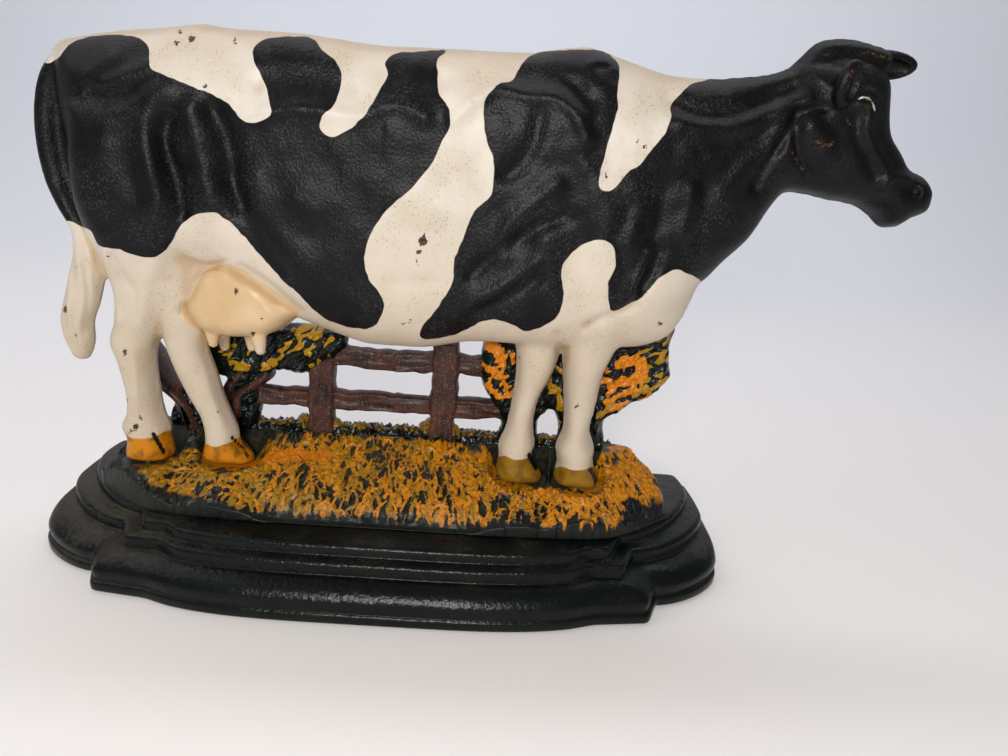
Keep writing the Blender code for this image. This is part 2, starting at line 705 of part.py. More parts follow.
def trunk_hollow():
    """The core's shape: the trunk's sections, drawn in by the wall, round the bosses for the body screws."""
    wall = COW_WALL / mm
    sections = []
    for upper, lower, thick in TRUNK[2:-2]:
        sections.append((
            (upper[0], upper[1] - wall - 1),
            (lower[0], lower[1] + wall + 4),
            thick - wall,
        ))
    core = cow_shape("hollow", sections, COW_PLANE, 14, CASTING_FULLNESS)
    bosses = [
        rod("boss", (x * mm, COW_PLANE - 30 * mm, SOLE + z * mm), (0, 1, 0), 60 * mm, BOSS_RADIUS, 14)
        for _, x, z in BODY_SCREWS
    ]
    return combine(core, "DIFFERENCE", *bosses)


def make_cow_half(whole, name, side):
    """side is -1 for the near half and 1 for the far half."""
    half = copy_of(whole, name)
    reach = 400 * mm
    parting = COW_PLANE + side * SEAT_GAP / 2
    edges = sorted((parting, parting - side * reach))
    combine(half, "DIFFERENCE", box("waste", (-reach, edges[0], -reach), (reach, edges[1], reach)))
    combine(half, "DIFFERENCE", trunk_hollow())
    hole = SHANK_RADIUS + SCREW_CLEARANCE
    tip = BODY_SCREW_LENGTH - BODY_SCREW_HEAD_IN + HOLE_END_ROOM
    holes = []
    for _, x, z in BODY_SCREWS:
        start = (x * mm, COW_PLANE - tip, SOLE + z * mm)
        holes.append(rod("hole", start, (0, 1, 0), tip + BODY_SCREW_HEAD_IN + 1 * mm, hole, 12))
        if side > 0:
            seat = (x * mm, COW_PLANE + BODY_SCREW_HEAD_IN, SOLE + z * mm)
            holes.append(rod("head_seat", seat, (0, 1, 0), 30 * mm, HEAD_RADIUS + HEAD_ROOM, 14))
    for key, (x, y) in hoof_screw_places().items():
        if key.startswith("near") == (side < 0):
            foot = (x, y, SOLE - 1 * mm)
            holes.append(rod("hole", foot, (0, 0, 1), HOOF_SCREW_BITE + HOLE_END_ROOM + 1 * mm, hole, 12))
    combine(half, "DIFFERENCE", *holes)
    return finish(half, name, cow_enamel, math.radians(50))


def hoof_screw_places():
    """Each screw stands in its own half of the hoof, close to the parting plane."""
    off = SHANK_RADIUS + SCREW_CLEARANCE + HOOF_SCREW_EDGE
    return {
        name: (x, COW_PLANE - off if name.startswith("near") else COW_PLANE + off)
        for name, (x, _, _, _) in hoof_places().items()
    }


def post_screw_places():
    return {side: ((low + high) / 2 * mm, FENCE_PLANE) for side, (low, high) in zip(("left", "right"), POSTS)}


def make_fence():
    def rail(low, high, foot, top):
        y = RAIL_THICKNESS / 2
        return box(
            "rail",
            (low * mm, FENCE_PLANE - y, FENCE_FOOT + foot * mm),
            (high * mm, FENCE_PLANE + y, FENCE_FOOT + top * mm),
            0.8 * mm,
        )

    half = FENCE_THICKNESS / 2
    fence = box(
        "fence_and_hedge",
        (-FENCE_FOOT_LEFT, FENCE_PLANE - half + 1 * mm, FENCE_FOOT),
        (FENCE_FOOT_RIGHT, FENCE_PLANE + half - 1 * mm, FENCE_FOOT + FENCE_FOOT_HEIGHT),
    )
    posts = [
        box("post", (low * mm, FENCE_PLANE - half, FENCE_FOOT),
            (high * mm, FENCE_PLANE + half, FENCE_FOOT + POST_HEIGHT), 0.8 * mm)
        for low, high in POSTS
    ]
    hedges = [
        flat_outline(
            name,
            [(x * mm, FENCE_FOOT + z * mm) for x, z in points],
            FENCE_PLANE,
            HEDGE_THICKNESS,
            HEDGE_EDGE,
        )
        for name, points in (("left_hedge", LEFT_HEDGE), ("right_hedge", RIGHT_HEDGE))
    ]
    combine(fence, "UNION", *posts, *[rail(*sizes) for sizes in RAILS], *hedges)
    below = box("below", (-1, -1, FENCE_FOOT - 50 * mm), (1, 1, FENCE_FOOT))
    combine(fence, "DIFFERENCE", below)
    hole = SHANK_RADIUS + SCREW_CLEARANCE
    holes = [
        rod("hole", (x, y, FENCE_FOOT - 1 * mm), (0, 0, 1), POST_SCREW_BITE + HOLE_END_ROOM + 1 * mm, hole, 12)
        for x, y in post_screw_places().values()
    ]
    combine(fence, "DIFFERENCE", *holes)
    return finish(fence, "fence_and_hedge", fence_brown)


def make_screw(name, seat, direction, length):
    """A pan-head machine screw, from the middle of its head's underside and the way that it was driven."""
    bm = bmesh.new()
    round_in = HEAD_HEIGHT * 0.35
    profile = [
        (0, -HEAD_HEIGHT),
        (HEAD_RADIUS - round_in, -HEAD_HEIGHT),
        (HEAD_RADIUS, -HEAD_HEIGHT + round_in),
        (HEAD_RADIUS, 0),
        (SHANK_RADIUS, 0),
        (SHANK_RADIUS, length - SHANK_RADIUS / 2),
        (SHANK_RADIUS / 2, length),
        (0, length),
    ]
    verts = [bm.verts.new((radius, 0, -along)) for radius, along in profile]
    for first, second in zip(verts, verts[1:]):
        bm.edges.new((first, second))
    mesh = bpy.data.meshes.new(name)
    bm.to_mesh(mesh)
    bm.free()
    screw = bpy.data.objects.new(name, mesh)
    helpers.objects.link(screw)
    turn = screw.modifiers.new("turn", "SCREW")
    turn.steps = turn.render_steps = 12
    turn.use_merge_vertices = True
    turn.merge_threshold = 0.01 * mm
    finish(screw, name, zinc_steel)
    screw.location = seat
    screw.rotation_euler = Vector(direction).to_track_quat("-Z", "Y").to_euler()
    return screw


def make_screws():
    for name, x, z in BODY_SCREWS:
        seat = (x * mm, COW_PLANE + BODY_SCREW_HEAD_IN + SEAT_GAP, SOLE + z * mm)
        make_screw(f"body_screw_{name}", seat, (0, -1, 0), BODY_SCREW_LENGTH)
    under = HOOF_SEAT - BANK_CEILING - SEAT_GAP
    for name, (x, y) in hoof_screw_places().items():
        make_screw(f"hoof_screw_{name}", (x, y, under), (0, 0, 1), SOLE - under + HOOF_SCREW_BITE)
    for name, (x, y) in post_screw_places().items():
        make_screw(f"post_screw_{name}", (x, y, under), (0, 0, 1), FENCE_FOOT - under + POST_SCREW_BITE)
    under = PLINTH_TOP - PLINTH_WALL - SEAT_GAP
    for name, (x, y) in bank_screw_places().items():
        make_screw(f"bank_screw_{name}", (x, y, under), (0, 0, 1), BANK_FOOT - under + BANK_SCREW_BITE)


def make_pads():
    for name, (x, y) in pad_places().items():
        pad = rod("pad", (x, y, 0), (0, 0, 1), PAD_THICKNESS, PAD_RADIUS, 20)
        finish(pad, f"felt_pad_{name}", cream_felt)


clear_scene()
doorstop = new_collection("cow_doorstop")
helpers = new_collection("cutters", hidden=True)
carrier = bpy.data.objects.new("doorstop_origin", None)
carrier.location = SHIFT
doorstop.objects.link(carrier)

dark_green_enamel = paint("dark_green_enamel", (0.008, 0.013, 0.010), 0.35)
grass_green = paint("grass_green_enamel", (0.20, 0.11, 0.01), 0.5)
cow_enamel = paint("cow_enamel", (0.75, 0.68, 0.56), 0.4)
fence_brown = paint("fence_brown_enamel", (0.07, 0.03, 0.02), 0.45)
zinc_steel = paint("zinc_plated_steel", (0.55, 0.56, 0.58), 0.35, 1.0)
cream_felt = paint("cream_felt", (0.70, 0.62, 0.48), 0.95)

make_plinth()
make_bank()
cow = whole_cow()
make_cow_half(cow, "cow_near_half", -1)
make_cow_half(cow, "cow_far_half", 1)
cow_mesh = cow.data
bpy.data.objects.remove(cow)
bpy.data.meshes.remove(cow_mesh)
make_fence()
make_screws()
make_pads()
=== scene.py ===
"""Looks of the cast iron cow doorstop: its castings' surfaces, enamels and wear, the light and the camera.

Sizes are in millimetres from the middle of the plinth's front corners, and piece() moves what they give into
the part's frame, in metres. Outlines and strokes are written as x, y, x, y and so on.
"""

import math
from functools import partial

import bmesh
import bpy
import numpy as np
from mathutils import Matrix, Vector


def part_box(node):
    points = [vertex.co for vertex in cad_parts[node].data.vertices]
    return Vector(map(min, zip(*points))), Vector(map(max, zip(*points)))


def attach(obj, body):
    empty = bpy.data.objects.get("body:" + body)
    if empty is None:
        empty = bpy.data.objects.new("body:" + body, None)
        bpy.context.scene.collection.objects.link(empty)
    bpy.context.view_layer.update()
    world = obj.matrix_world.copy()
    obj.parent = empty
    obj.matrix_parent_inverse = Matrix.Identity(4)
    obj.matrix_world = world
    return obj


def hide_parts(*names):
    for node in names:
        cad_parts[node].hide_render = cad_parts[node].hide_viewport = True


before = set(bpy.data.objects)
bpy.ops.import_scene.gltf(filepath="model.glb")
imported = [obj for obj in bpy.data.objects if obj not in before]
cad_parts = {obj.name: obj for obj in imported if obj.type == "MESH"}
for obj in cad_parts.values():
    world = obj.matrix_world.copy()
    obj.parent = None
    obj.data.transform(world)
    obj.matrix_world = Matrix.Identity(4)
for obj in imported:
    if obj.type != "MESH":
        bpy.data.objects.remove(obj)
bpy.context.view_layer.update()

MM = 0.001
PLINTH_DEPTH = 81  # from the front corners' line to the flat back
plinth_low, plinth_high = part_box("plinth")
ORIGIN = np.array([(plinth_low.x + plinth_high.x) / 2 / MM, plinth_high.y / MM - PLINTH_DEPTH, 0])
PLINTH_FOOT, PLINTH_TOP = plinth_low.z / MM, plinth_high.z / MM
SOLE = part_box("cow_near_half")[0].z / MM
BANK_FOOT, RIDGE = (corner.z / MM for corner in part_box("grass_bank"))
FENCE_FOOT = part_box("fence_and_hedge")[0].z / MM
COW_PLANE, FENCE_PLANE = 40, 58  # how far behind the front corners the cow and the fence stand

# The photograph's camera
PHOTO_WIDTH, FOCAL, CENTRE = 1008, 757, (504, 378)  # pixels
PITCH, ROLL, YAW = (math.radians(angle) for angle in (20.0, 4.17, 1.13))
EYE = np.array([40.7, -250.5, 191.1])
AHEAD = np.array([math.sin(YAW) * math.cos(PITCH), math.cos(YAW) * math.cos(PITCH), -math.sin(PITCH)])
LEVEL = np.array([math.cos(YAW), -math.sin(YAW), 0.0])
PLUMB = np.cross(AHEAD, LEVEL)
RIGHT = LEVEL * math.cos(ROLL) - PLUMB * math.sin(ROLL)
DOWN = LEVEL * math.sin(ROLL) + PLUMB * math.cos(ROLL)


def seen(x, y, z):
    """The photograph's pixel in which a point shows."""
    off = np.stack(np.broadcast_arrays(x, y, z), -1) - EYE
    depth = off @ AHEAD
    return CENTRE[0] + FOCAL * (off @ RIGHT) / depth, CENTRE[1] + FOCAL * (off @ DOWN) / depth


# Flat maps: outlines, strokes and grain drawn on a grid

def smooth_curve(points, closed=True, steps=6):
    """A curve through the points, with steps short lines between each two."""
    p = np.reshape(np.array(points, float), (-1, 2))
    if closed:
        before, after, beyond = np.roll(p, 1, 0), np.roll(p, -1, 0), np.roll(p, -2, 0)
    else:
        ends = np.vstack([p[:1] * 2 - p[1:2], p, p[-1:] * 2 - p[-2:-1]])
        before, p, after, beyond = ends[:-3], ends[1:-2], ends[2:-1], ends[3:]
    t = (np.arange(steps) / steps)[:, None, None]
    curve = 0.5 * (
        2 * p
        + (after - before) * t
        + (2 * before - 5 * p + 4 * after - beyond) * t**2
        + (3 * p - before - 3 * after + beyond) * t**3
    )
    curve = curve.transpose(1, 0, 2).reshape(-1, 2)
    return curve if closed else np.vstack([curve, after[-1:]])


def line_distance(u, v, curve, closed):
    """How far each grid point lies from a run of short lines, and whether a closed run goes round it."""
    near = np.full(u.shape, 1e9)
    inside = np.zeros(u.shape, bool)
    ends = np.roll(curve, -1, 0) if closed else curve[1:]
    for (ax, ay), (bx, by) in zip(curve, ends):
        dx, dy = bx - ax, by - ay
        along = np.clip(((u - ax) * dx + (v - ay) * dy) / max(dx * dx + dy * dy, 1e-9), 0, 1)
        near = np.minimum(near, (u - ax - along * dx) ** 2 + (v - ay - along * dy) ** 2)
        if closed and ay != by:
            inside ^= ((ay > v) != (by > v)) & (u < dx * (v - ay) / dy + ax)
    return np.sqrt(near), inside


def within(u, v, points, closed=True, steps=6, reach=30):
    """Distance into an outline, negative outside it, or minus the distance to an open line."""
    curve = smooth_curve(points, closed, steps)
    low, high = curve.min(0) - reach, curve.max(0) + reach
    spot = (u > low[0]) & (u < high[0]) & (v > low[1]) & (v < high[1])
    result = np.full(u.shape, -float(reach))
    if spot.any():
        far, inside = line_distance(u[spot], v[spot], curve, closed)
        result[spot] = np.where(inside, far, -far)
    return result


def within_any(u, v, outlines, **how):
    return np.max([within(u, v, points, **how) for points in outlines], 0)


def smooth_max(a, b, round_mm):
    share = np.clip(0.5 + 0.5 * (a - b) / round_mm, 0, 1)
    return b + (a - b) * share + round_mm * share * (1 - share)


def blurred(values, cells):
    """A map with its detail softened over about so many cells."""
    reach = max(1, int(3 * cells))
    weights = np.exp(-0.5 * (np.arange(-reach, reach + 1) / cells) ** 2)
    weights /= weights.sum()
    for axis in (0, 1):
        padded = np.pad(values, [(reach, reach) if a == axis else (0, 0) for a in (0, 1)], mode="edge")
        count = values.shape[axis]
        values = sum(w * np.take(padded, range(i, i + count), axis) for i, w in enumerate(weights))
    return values


def ramp(values, low, high):
    share = np.clip((values - low) / (high - low), 0, 1)
    return share * share * (3 - 2 * share)


def lumps(u, v, size, seed):
    """Soft random relief from -1 to 1 with lumps of about the given size."""
    table = np.random.default_rng(seed).uniform(-1, 1, (97, 97))
    a, b = u / size, v / size
    i, j = np.floor(a).astype(int), np.floor(b).astype(int)
    s, t = a - i, b - j
    s, t = s * s * (3 - 2 * s), t * t * (3 - 2 * t)
    i, j = i % 96, j % 96
    low = table[i, j] * (1 - s) + table[i + 1, j] * s
    high = table[i, j + 1] * (1 - s) + table[i + 1, j + 1] * s
    return low * (1 - t) + high * t


class Map:
    """A grid over a casting, with its thickness or height and its paint on it."""

    def __init__(self, low, high, step):
        self.low, self.step = np.array(low, float), step
        axes = (np.arange(a, b + step, step) for a, b in zip(low, high))
        self.u, self.v = np.meshgrid(*axes, indexing="ij")

    def spot(self, x, y, reach, beyond):
        """The grid's part round a point, so many cells to each side."""
        a, b = (int((p - low) / self.step) for p, low in zip((x, y), self.low))
        return slice(max(a - reach, 0), a + reach + beyond), slice(max(b - reach, 0), b + reach + beyond)

    def at(self, values, u, v):
        """The map's values at other points, between its own."""
        a = np.clip((u - self.low[0]) / self.step, 0, values.shape[0] - 1.001)
        b = np.clip((v - self.low[1]) / self.step, 0, values.shape[1] - 1.001)
        i, j = a.astype(int), b.astype(int)
        s, t = a - i, b - j
        first = values[i, j] * (1 - s) + values[i + 1, j] * s
        return first * (1 - t) + (values[i, j + 1] * (1 - s) + values[i + 1, j + 1] * s) * t

    def paint(self, mesh, layers, second_axis):
        """Puts the layers of paint on the mesh's points. The map's second axis is the mesh's 1 or 2."""
        u, v = points_of(mesh)[:, [0, second_axis]].T
        for name, values in layers.items():
            layer = mesh.attributes.new(name, "FLOAT", "POINT")
            layer.data.foreach_set("value", self.at(values, u, v).astype(np.float32))


def domed(depth, thick, round_in):
    """Half thickness of a cast form at a depth inside its outline. It goes on below zero outside it."""
    share = np.minimum(depth / round_in, 1)
    square = thick**2 * np.where(share > 0, share * (2 - share), 2 * share)
    return np.sign(square) * np.sqrt(np.abs(square))


# Solid fields, above zero inside the metal

def upright_field(thickness, depth):
    return thickness * np.abs(thickness) - depth**2


def block(axes, low, high, start):
    """The part of a grid between two corners, and there each point's way from a start."""
    spot = tuple(slice(*np.searchsorted(axis, (a, b))) for axis, a, b in zip(axes, low, high))
    here = np.meshgrid(*(axis[part] for axis, part in zip(axes, spot)), indexing="ij")
    return spot, np.stack(here, -1) - start


def rod(axes, start, end, radius, tip_radius):
    """The part of a grid round a tapering rod, and there its radius squared less the distance squared."""
    start, end = np.array(start, float), np.array(end, float)
    reach = max(radius, tip_radius) + 2.5
    spot, off = block(axes, np.minimum(start, end) - reach, np.maximum(start, end) + reach, start)
    run = end - start
    along = np.clip(off @ run / (run @ run), 0, 1)
    away = ((off - along[..., None] * run) ** 2).sum(-1)
    return spot, (radius + (tip_radius - radius) * along) ** 2 - away


def leaf(axes, centre, along, facing, sizes):
    """The part of a grid round an ear's egg shape, and there its field, in the same unit as a rod's."""
    centre, along, facing = (np.array(way, float) for way in (centre, along, facing))
    along /= np.linalg.norm(along)
    facing -= along * (facing @ along)
    facing /= np.linalg.norm(facing)
    reach = max(sizes) + 3
    spot, off = block(axes, centre - reach, centre + reach, centre)
    ways = along, np.cross(facing, along), facing
    return spot, (1 - sum((off @ way / size) ** 2 for way, size in zip(ways, sizes))) * min(sizes) ** 2


def join(field, spot, solid, round_mm):
    field[spot] = smooth_max(field[spot], solid, round_mm)


def carve(field, spot, solid, round_mm):
    field[spot] = -smooth_max(-field[spot], solid, round_mm)


# Meshes

def new_mesh(name, bm):
    mesh = bpy.data.meshes.new(name)
    bm.to_mesh(mesh)
    bm.free()
    return mesh


def place(name, data):
    obj = bpy.data.objects.new(name, data)
    bpy.context.scene.collection.objects.link(obj)
    return obj


def skin(name, field, corner, step):
    """The surface where a 3-D field passes zero, as a mesh of quads, one point in each cell it crosses."""
    field = field.astype(np.float32)
    solid = field > 0
    cells = [slice(0, -1), slice(1, None)]
    count = sum(solid[a, b, c].astype(np.int8) for a in cells for b in cells for c in cells)
    crossed = np.argwhere((count > 0) & (count < 8))
    number = np.full(count.shape, -1, np.int32)
    number[tuple(crossed.T)] = np.arange(len(crossed))
    total = np.zeros((len(crossed), 3))
    hits = np.zeros(len(crossed))
    for axis in range(3):
        for side in ((0, 0), (0, 1), (1, 0), (1, 1)):
            start, end = np.insert(side, axis, 0), np.insert(side, axis, 1)
            first = field[tuple((crossed + start).T)]
            second = field[tuple((crossed + end).T)]
            crosses = (first > 0) != (second > 0)
            share = np.where(crosses, first / np.where(crosses, first - second, 1), 0)
            total[crosses] += (start + share[:, None] * (end - start))[crosses]
            hits += crosses
    points = (crossed + total / hits[:, None]) * step + np.array(corner)
    quads = []
    for axis in range(3):
        others = [a for a in range(3) if a != axis]
        inner = [slice(1, -1)] * 3
        inner[axis] = slice(0, -1)
        ahead = list(inner)
        ahead[axis] = slice(1, None)
        here, there = solid[tuple(inner)], solid[tuple(ahead)]
        for outward in (True, False):
            spots = np.argwhere(here & ~there if outward else there & ~here)
            spots[:, others] += 1
            ring = []
            for shift in ((0, 0), (-1, 0), (-1, -1), (0, -1)):
                cell = spots.copy()
                cell[:, others] += shift
                ring.append(number[tuple(cell.T)])
            if outward != (axis == 1):
                ring.reverse()
            quads.append(np.stack(ring[::-1], 1))
    mesh = bpy.data.meshes.new(name)
    faces = np.vstack(quads)
    mesh.vertices.add(len(points))
    mesh.vertices.foreach_set("co", points.ravel())
    mesh.loops.add(faces.size)
    mesh.loops.foreach_set("vertex_index", faces.ravel().astype(np.int32))
    mesh.polygons.add(len(faces))
    mesh.polygons.foreach_set("loop_start", np.arange(0, faces.size, 4, dtype=np.int32))
    mesh.update(calc_edges=True)
    mesh.validate()
    return mesh


def loft(name, rings):
    """A closed skin over rings of points that all have the same count."""
    bm = bmesh.new()
    loops = [[bm.verts.new(point) for point in ring] for ring in rings]
    for first, second in zip(loops, loops[1:]):
        for i in range(len(first)):
            j = (i + 1) % len(first)
            bm.faces.new((first[i], first[j], second[j], second[i]))
    bm.faces.new(loops[0][::-1])
    bm.faces.new(loops[-1])
    bmesh.ops.recalc_face_normals(bm, faces=bm.faces)
    return new_mesh(name, bm)


def points_of(mesh):
    flat = np.zeros(len(mesh.vertices) * 3, np.float32)
    mesh.vertices.foreach_get("co", flat)
    return flat.reshape(-1, 3).astype(float)


def piece(name, mesh, material, twin, sharp=None):
    """Puts a mesh given in this file's millimetres in the part's frame, in place of a node."""
    mesh.vertices.foreach_set("co", ((points_of(mesh) + ORIGIN) * MM).astype(np.float32).ravel())
    mesh.update()
    mesh.materials.append(material)
    mesh.shade_smooth()
    if sharp:
        mesh.set_sharp_from_angle(angle=math.radians(sharp))
    obj = place(name, mesh)
    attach(obj, "root")
    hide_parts(twin)
    return obj


# The cow, cast in two halves that meet at COW_PLANE. Each half's thickness is drawn on an upright map.

BODY = (
    -118, 196, -113, 201.5, -98.7, 204.9, -80, 207.4, -68, 209.3, -55, 208.5, -34.7, 208.7, -21, 207.8,
    -4.8, 206.7, 17.5, 207.3, 45.5, 207.8, 56, 209.6, 68, 211, 77, 208.9, 87, 206.3, 98.5, 203.8,
    113.6, 203.8, 120, 204.6, 132, 206.4, 139.6, 209.3, 148, 214, 158, 215, 168, 213, 175, 208, 176.8, 201,
    177.6, 196.7, 179.6, 190, 184.3, 184.6, 190, 178, 196.4, 175.3, 199.7, 171.3, 200.3, 167.7, 199.3, 162.7,
    193.5, 159.7, 191, 157, 186, 156.2, 183.6, 156.4, 179.3, 160, 173.6, 163.2, 168.3, 164.3, 161.4, 165,
    153.5, 166.3, 146, 166.5, 142.7, 163, 140, 158, 135, 148, 126.7, 138.6, 122, 132.4, 119, 129.4,
    116.5, 120.7, 114, 114.4, 109.5, 108, 102.8, 104.4, 96.5, 102.7, 80, 101.5, 65, 100.5, 49, 101,
    35, 100.8, 28, 100, 16.6, 97.4, 6.5, 97, -8, 97, -19, 100, -27, 102.7, -36, 105.8, -46, 111, -58, 118,
    -72, 124, -88, 124, -102, 126, -110, 134, -114.5, 146, -117, 160, -119, 175, -119.5, 188,
)
# x, half thickness, how far in from the outline the flank turns
BODY_THICKNESS = (
    (-120, 15, 16), (-108, 19, 22), (-90, 21.5, 26), (-50, 22, 28), (0, 23.5, 28), (50, 22.5, 28),
    (85, 21, 28), (103, 19, 26), (118, 16, 22), (130, 13.5, 19), (145, 13, 17), (165, 14, 17),
    (178, 12.5, 13), (190, 10, 9), (201, 9, 7),
)
# Legs from the top down: height over the soles, left edge, right edge, half thickness
NEAR_HIND_LEG = (
    (146, -111, -78, 19), (128, -115, -68, 21.5), (108, -115.5, -66, 21.5), (94, -113, -70, 19),
    (84, -110, -75, 15), (77, -108, -78.5, 12.5), (69, -107.2, -81, 11.5), (61, -108.5, -86, 10.5),
    (54, -111, -91, 9.5), (49, -111, -93.5, 9), (42, -109.2, -94.5, 8), (31, -107.6, -94, 7.5),
    (21, -108, -93, 7.5), (14.5, -111, -91, 8.5), (10, -108.6, -91.5, 9), (0, -109, -91.5, 10),
)
FAR_HIND_LEG = (
    (110, -104, -68, 16), (82, -98, -70, 13), (60, -92, -72, 9.5), (50, -90, -73.5, 8.5),
    (41, -87.5, -71, 8), (30, -83, -68.5, 7.5), (21, -78.5, -65.5, 7.5), (14, -77, -63, 8.5),
    (9, -77, -62.5, 9), (0, -77.5, -57, 10),
)
FAR_FRONT_LEG = (
    (100, 44, 78, 15), (78, 46, 74, 14), (60, 50, 68.5, 10), (52, 51, 67, 9), (45, 51, 64.5, 8.2),
    (38, 50.5, 61.5, 7.6), (30, 49.5, 60, 7.2), (23, 48.3, 60.2, 7.5), (16.5, 46, 61.5, 8.5),
    (11, 46.5, 60.5, 8.8), (0, 47, 65.5, 10),
)
NEAR_FRONT_LEG = (
    (136, 66, 94, 20), (112, 64, 100, 21.5), (94, 65, 99, 21), (78, 67, 96, 17.5), (60, 69, 90, 12),
    (50, 70, 86.5, 10.5), (41, 71, 85.5, 9.2), (33, 72, 84.5, 8.2), (25, 72.3, 83.5, 7.8),
    (17, 70, 86.5, 8.8), (10, 71.3, 86.5, 9.2), (0, 71.5, 89.5, 10),
)
LEGS = (  # each with how far the near half's leg stands forward
    (NEAR_HIND_LEG, 2), (NEAR_FRONT_LEG, 2), (FAR_HIND_LEG, 0), (FAR_FRONT_LEG, 0),
)
TAIL = (
    (161, -117, -108, 5), (156, -122, -112, 5), (149, -127, -117.5, 4.6), (138, -130.3, -121, 4.6),
    (125, -131.2, -122, 4.6), (112, -129.8, -120.5, 4.8), (102, -126.4, -117.5, 5), (94, -122.6, -112, 5.6),
    (86, -122.8, -110, 6.2), (75, -126, -112, 6.4), (65, -129.3, -115, 6.6), (58, -131, -118, 6.2),
    (50, -130.4, -118.6, 5.5), (45, -129, -120, 4.2), (41.5, -127.3, -122.5, 3),
)
TAIL_WEB = (
    (152, -122, -112, 2.2), (138, -126, -112, 2.2), (124, -127, -110, 2.2), (106, -123, -107, 2.2),
    (90, -118, -104, 3), (77, -116, -104, 3),
)
UDDER = (
    -80, 111, -77, 119, -71.5, 127, -64, 129.8, -56, 129, -47, 124, -40, 117.5, -33.5, 110.5, -38.5, 104,
    -45.5, 99, -52, 97, -59, 96.3, -66, 96.5, -72, 98.5, -77, 104,
)
POLL = (
    139, 207, 144, 214.5, 148.4, 218.5, 155, 219.8, 161.7, 219.7, 167, 218.7, 172, 217.6, 175, 215, 174, 210,
    168, 206, 160, 205, 150, 205,
)
UDDER_HALF, UDDER_TURN, POLL_HALF, POLL_TURN = 15, 9, 6, 5  # as the body's, but the same all over
RODS = (  # four teats and the near ear's root: x, depth behind the parting and z of both ends, and radii
    ((-68.5, -8, SOLE + 62), (-68.1, -8.2, SOLE + 54.8), 3.3, 2.0),
    ((-50.5, -8, SOLE + 61), (-49.8, -8.2, SOLE + 53), 3.4, 2.1),
    ((-69, 5, SOLE + 58), (-68.6, 5, SOLE + 49), 3.2, 2.0),
    ((-58, 5, SOLE + 58), (-57.5, 5, SOLE + 49.6), 3.2, 2.0),
    ((143, -3, 207.5), (155.4, -14.6, 206.4), 3.0, 3.3),
)
NOSTRIL_HOLE = ((185.5, -11.4, 171.6), (190, -9.4, 171.0), 1.5, 2.3)
# Each ear: middle, way it grows, way it opens, half sizes, those of its hollow, and how far out that lies
EARS = (
    ((154.6, -16.4, 204.4), (-0.15, 0.1, -1), (0.62, -0.78, 0.1), (8.2, 5.6, 3.4), (5.8, 3.4, 2.8), 2.3),
    ((173, 3.6, 212.6), (1, 0.05, 0.02), (0.1, -1, -0.45), (13.6, 5.4, 3.6), (10.6, 3.6, 3.2), 2.6),
)
SCREW_SEAT_RADIUS, SCREW_SEAT_DEPTH = 4.6, 17.6
PARTING_GAP = 0.05  # from the parting plane to each half
COW_GRID = Map((-134, SOLE - 2), (203, 223), 0.8)
COW_DEPTH = np.arange(-27, 27.8, COW_GRID.step) + 0.31 * COW_GRID.step  # no layer on the parting plane


def cast_leg(sections, u, v, forward):
    """A leg's half thickness, from its sections' outline and widths."""
    rows = sorted((SOLE + z, left, right, thick) for z, left, right, thick in sections)
    levels, left, right, thick = np.array(rows, float).T
    outline = list(zip(left, levels)) + list(zip(right, levels))[::-1]
    half_width = np.interp(v, levels, right - left) / 2
    depth = within(u, v, outline, steps=4)
    return domed(depth, np.interp(v, levels, thick) + forward, np.minimum(half_width * 0.92, 14))


def cow_thickness(u, v, side):
    """Half thickness of the near half (side 1) or the far half (side -1), before its fine relief."""
    x, thick, turn = np.array(BODY_THICKNESS, float).T
    total = domed(within(u, v, BODY), np.interp(u, x, thick), np.interp(u, x, turn))
    for leg, forward in LEGS:
        total = smooth_max(total, cast_leg(leg, u, v, forward * side), 3.0)
    total = smooth_max(total, domed(within(u, v, UDDER), UDDER_HALF, UDDER_TURN), 1.5)
    for sections in (TAIL, TAIL_WEB):
        total = smooth_max(total, cast_leg(sections, u, v, 0), 0.6)
    total = smooth_max(total, domed(within(u, v, POLL), POLL_HALF, POLL_TURN), 1.0)
    return blurred(total, 1.0)


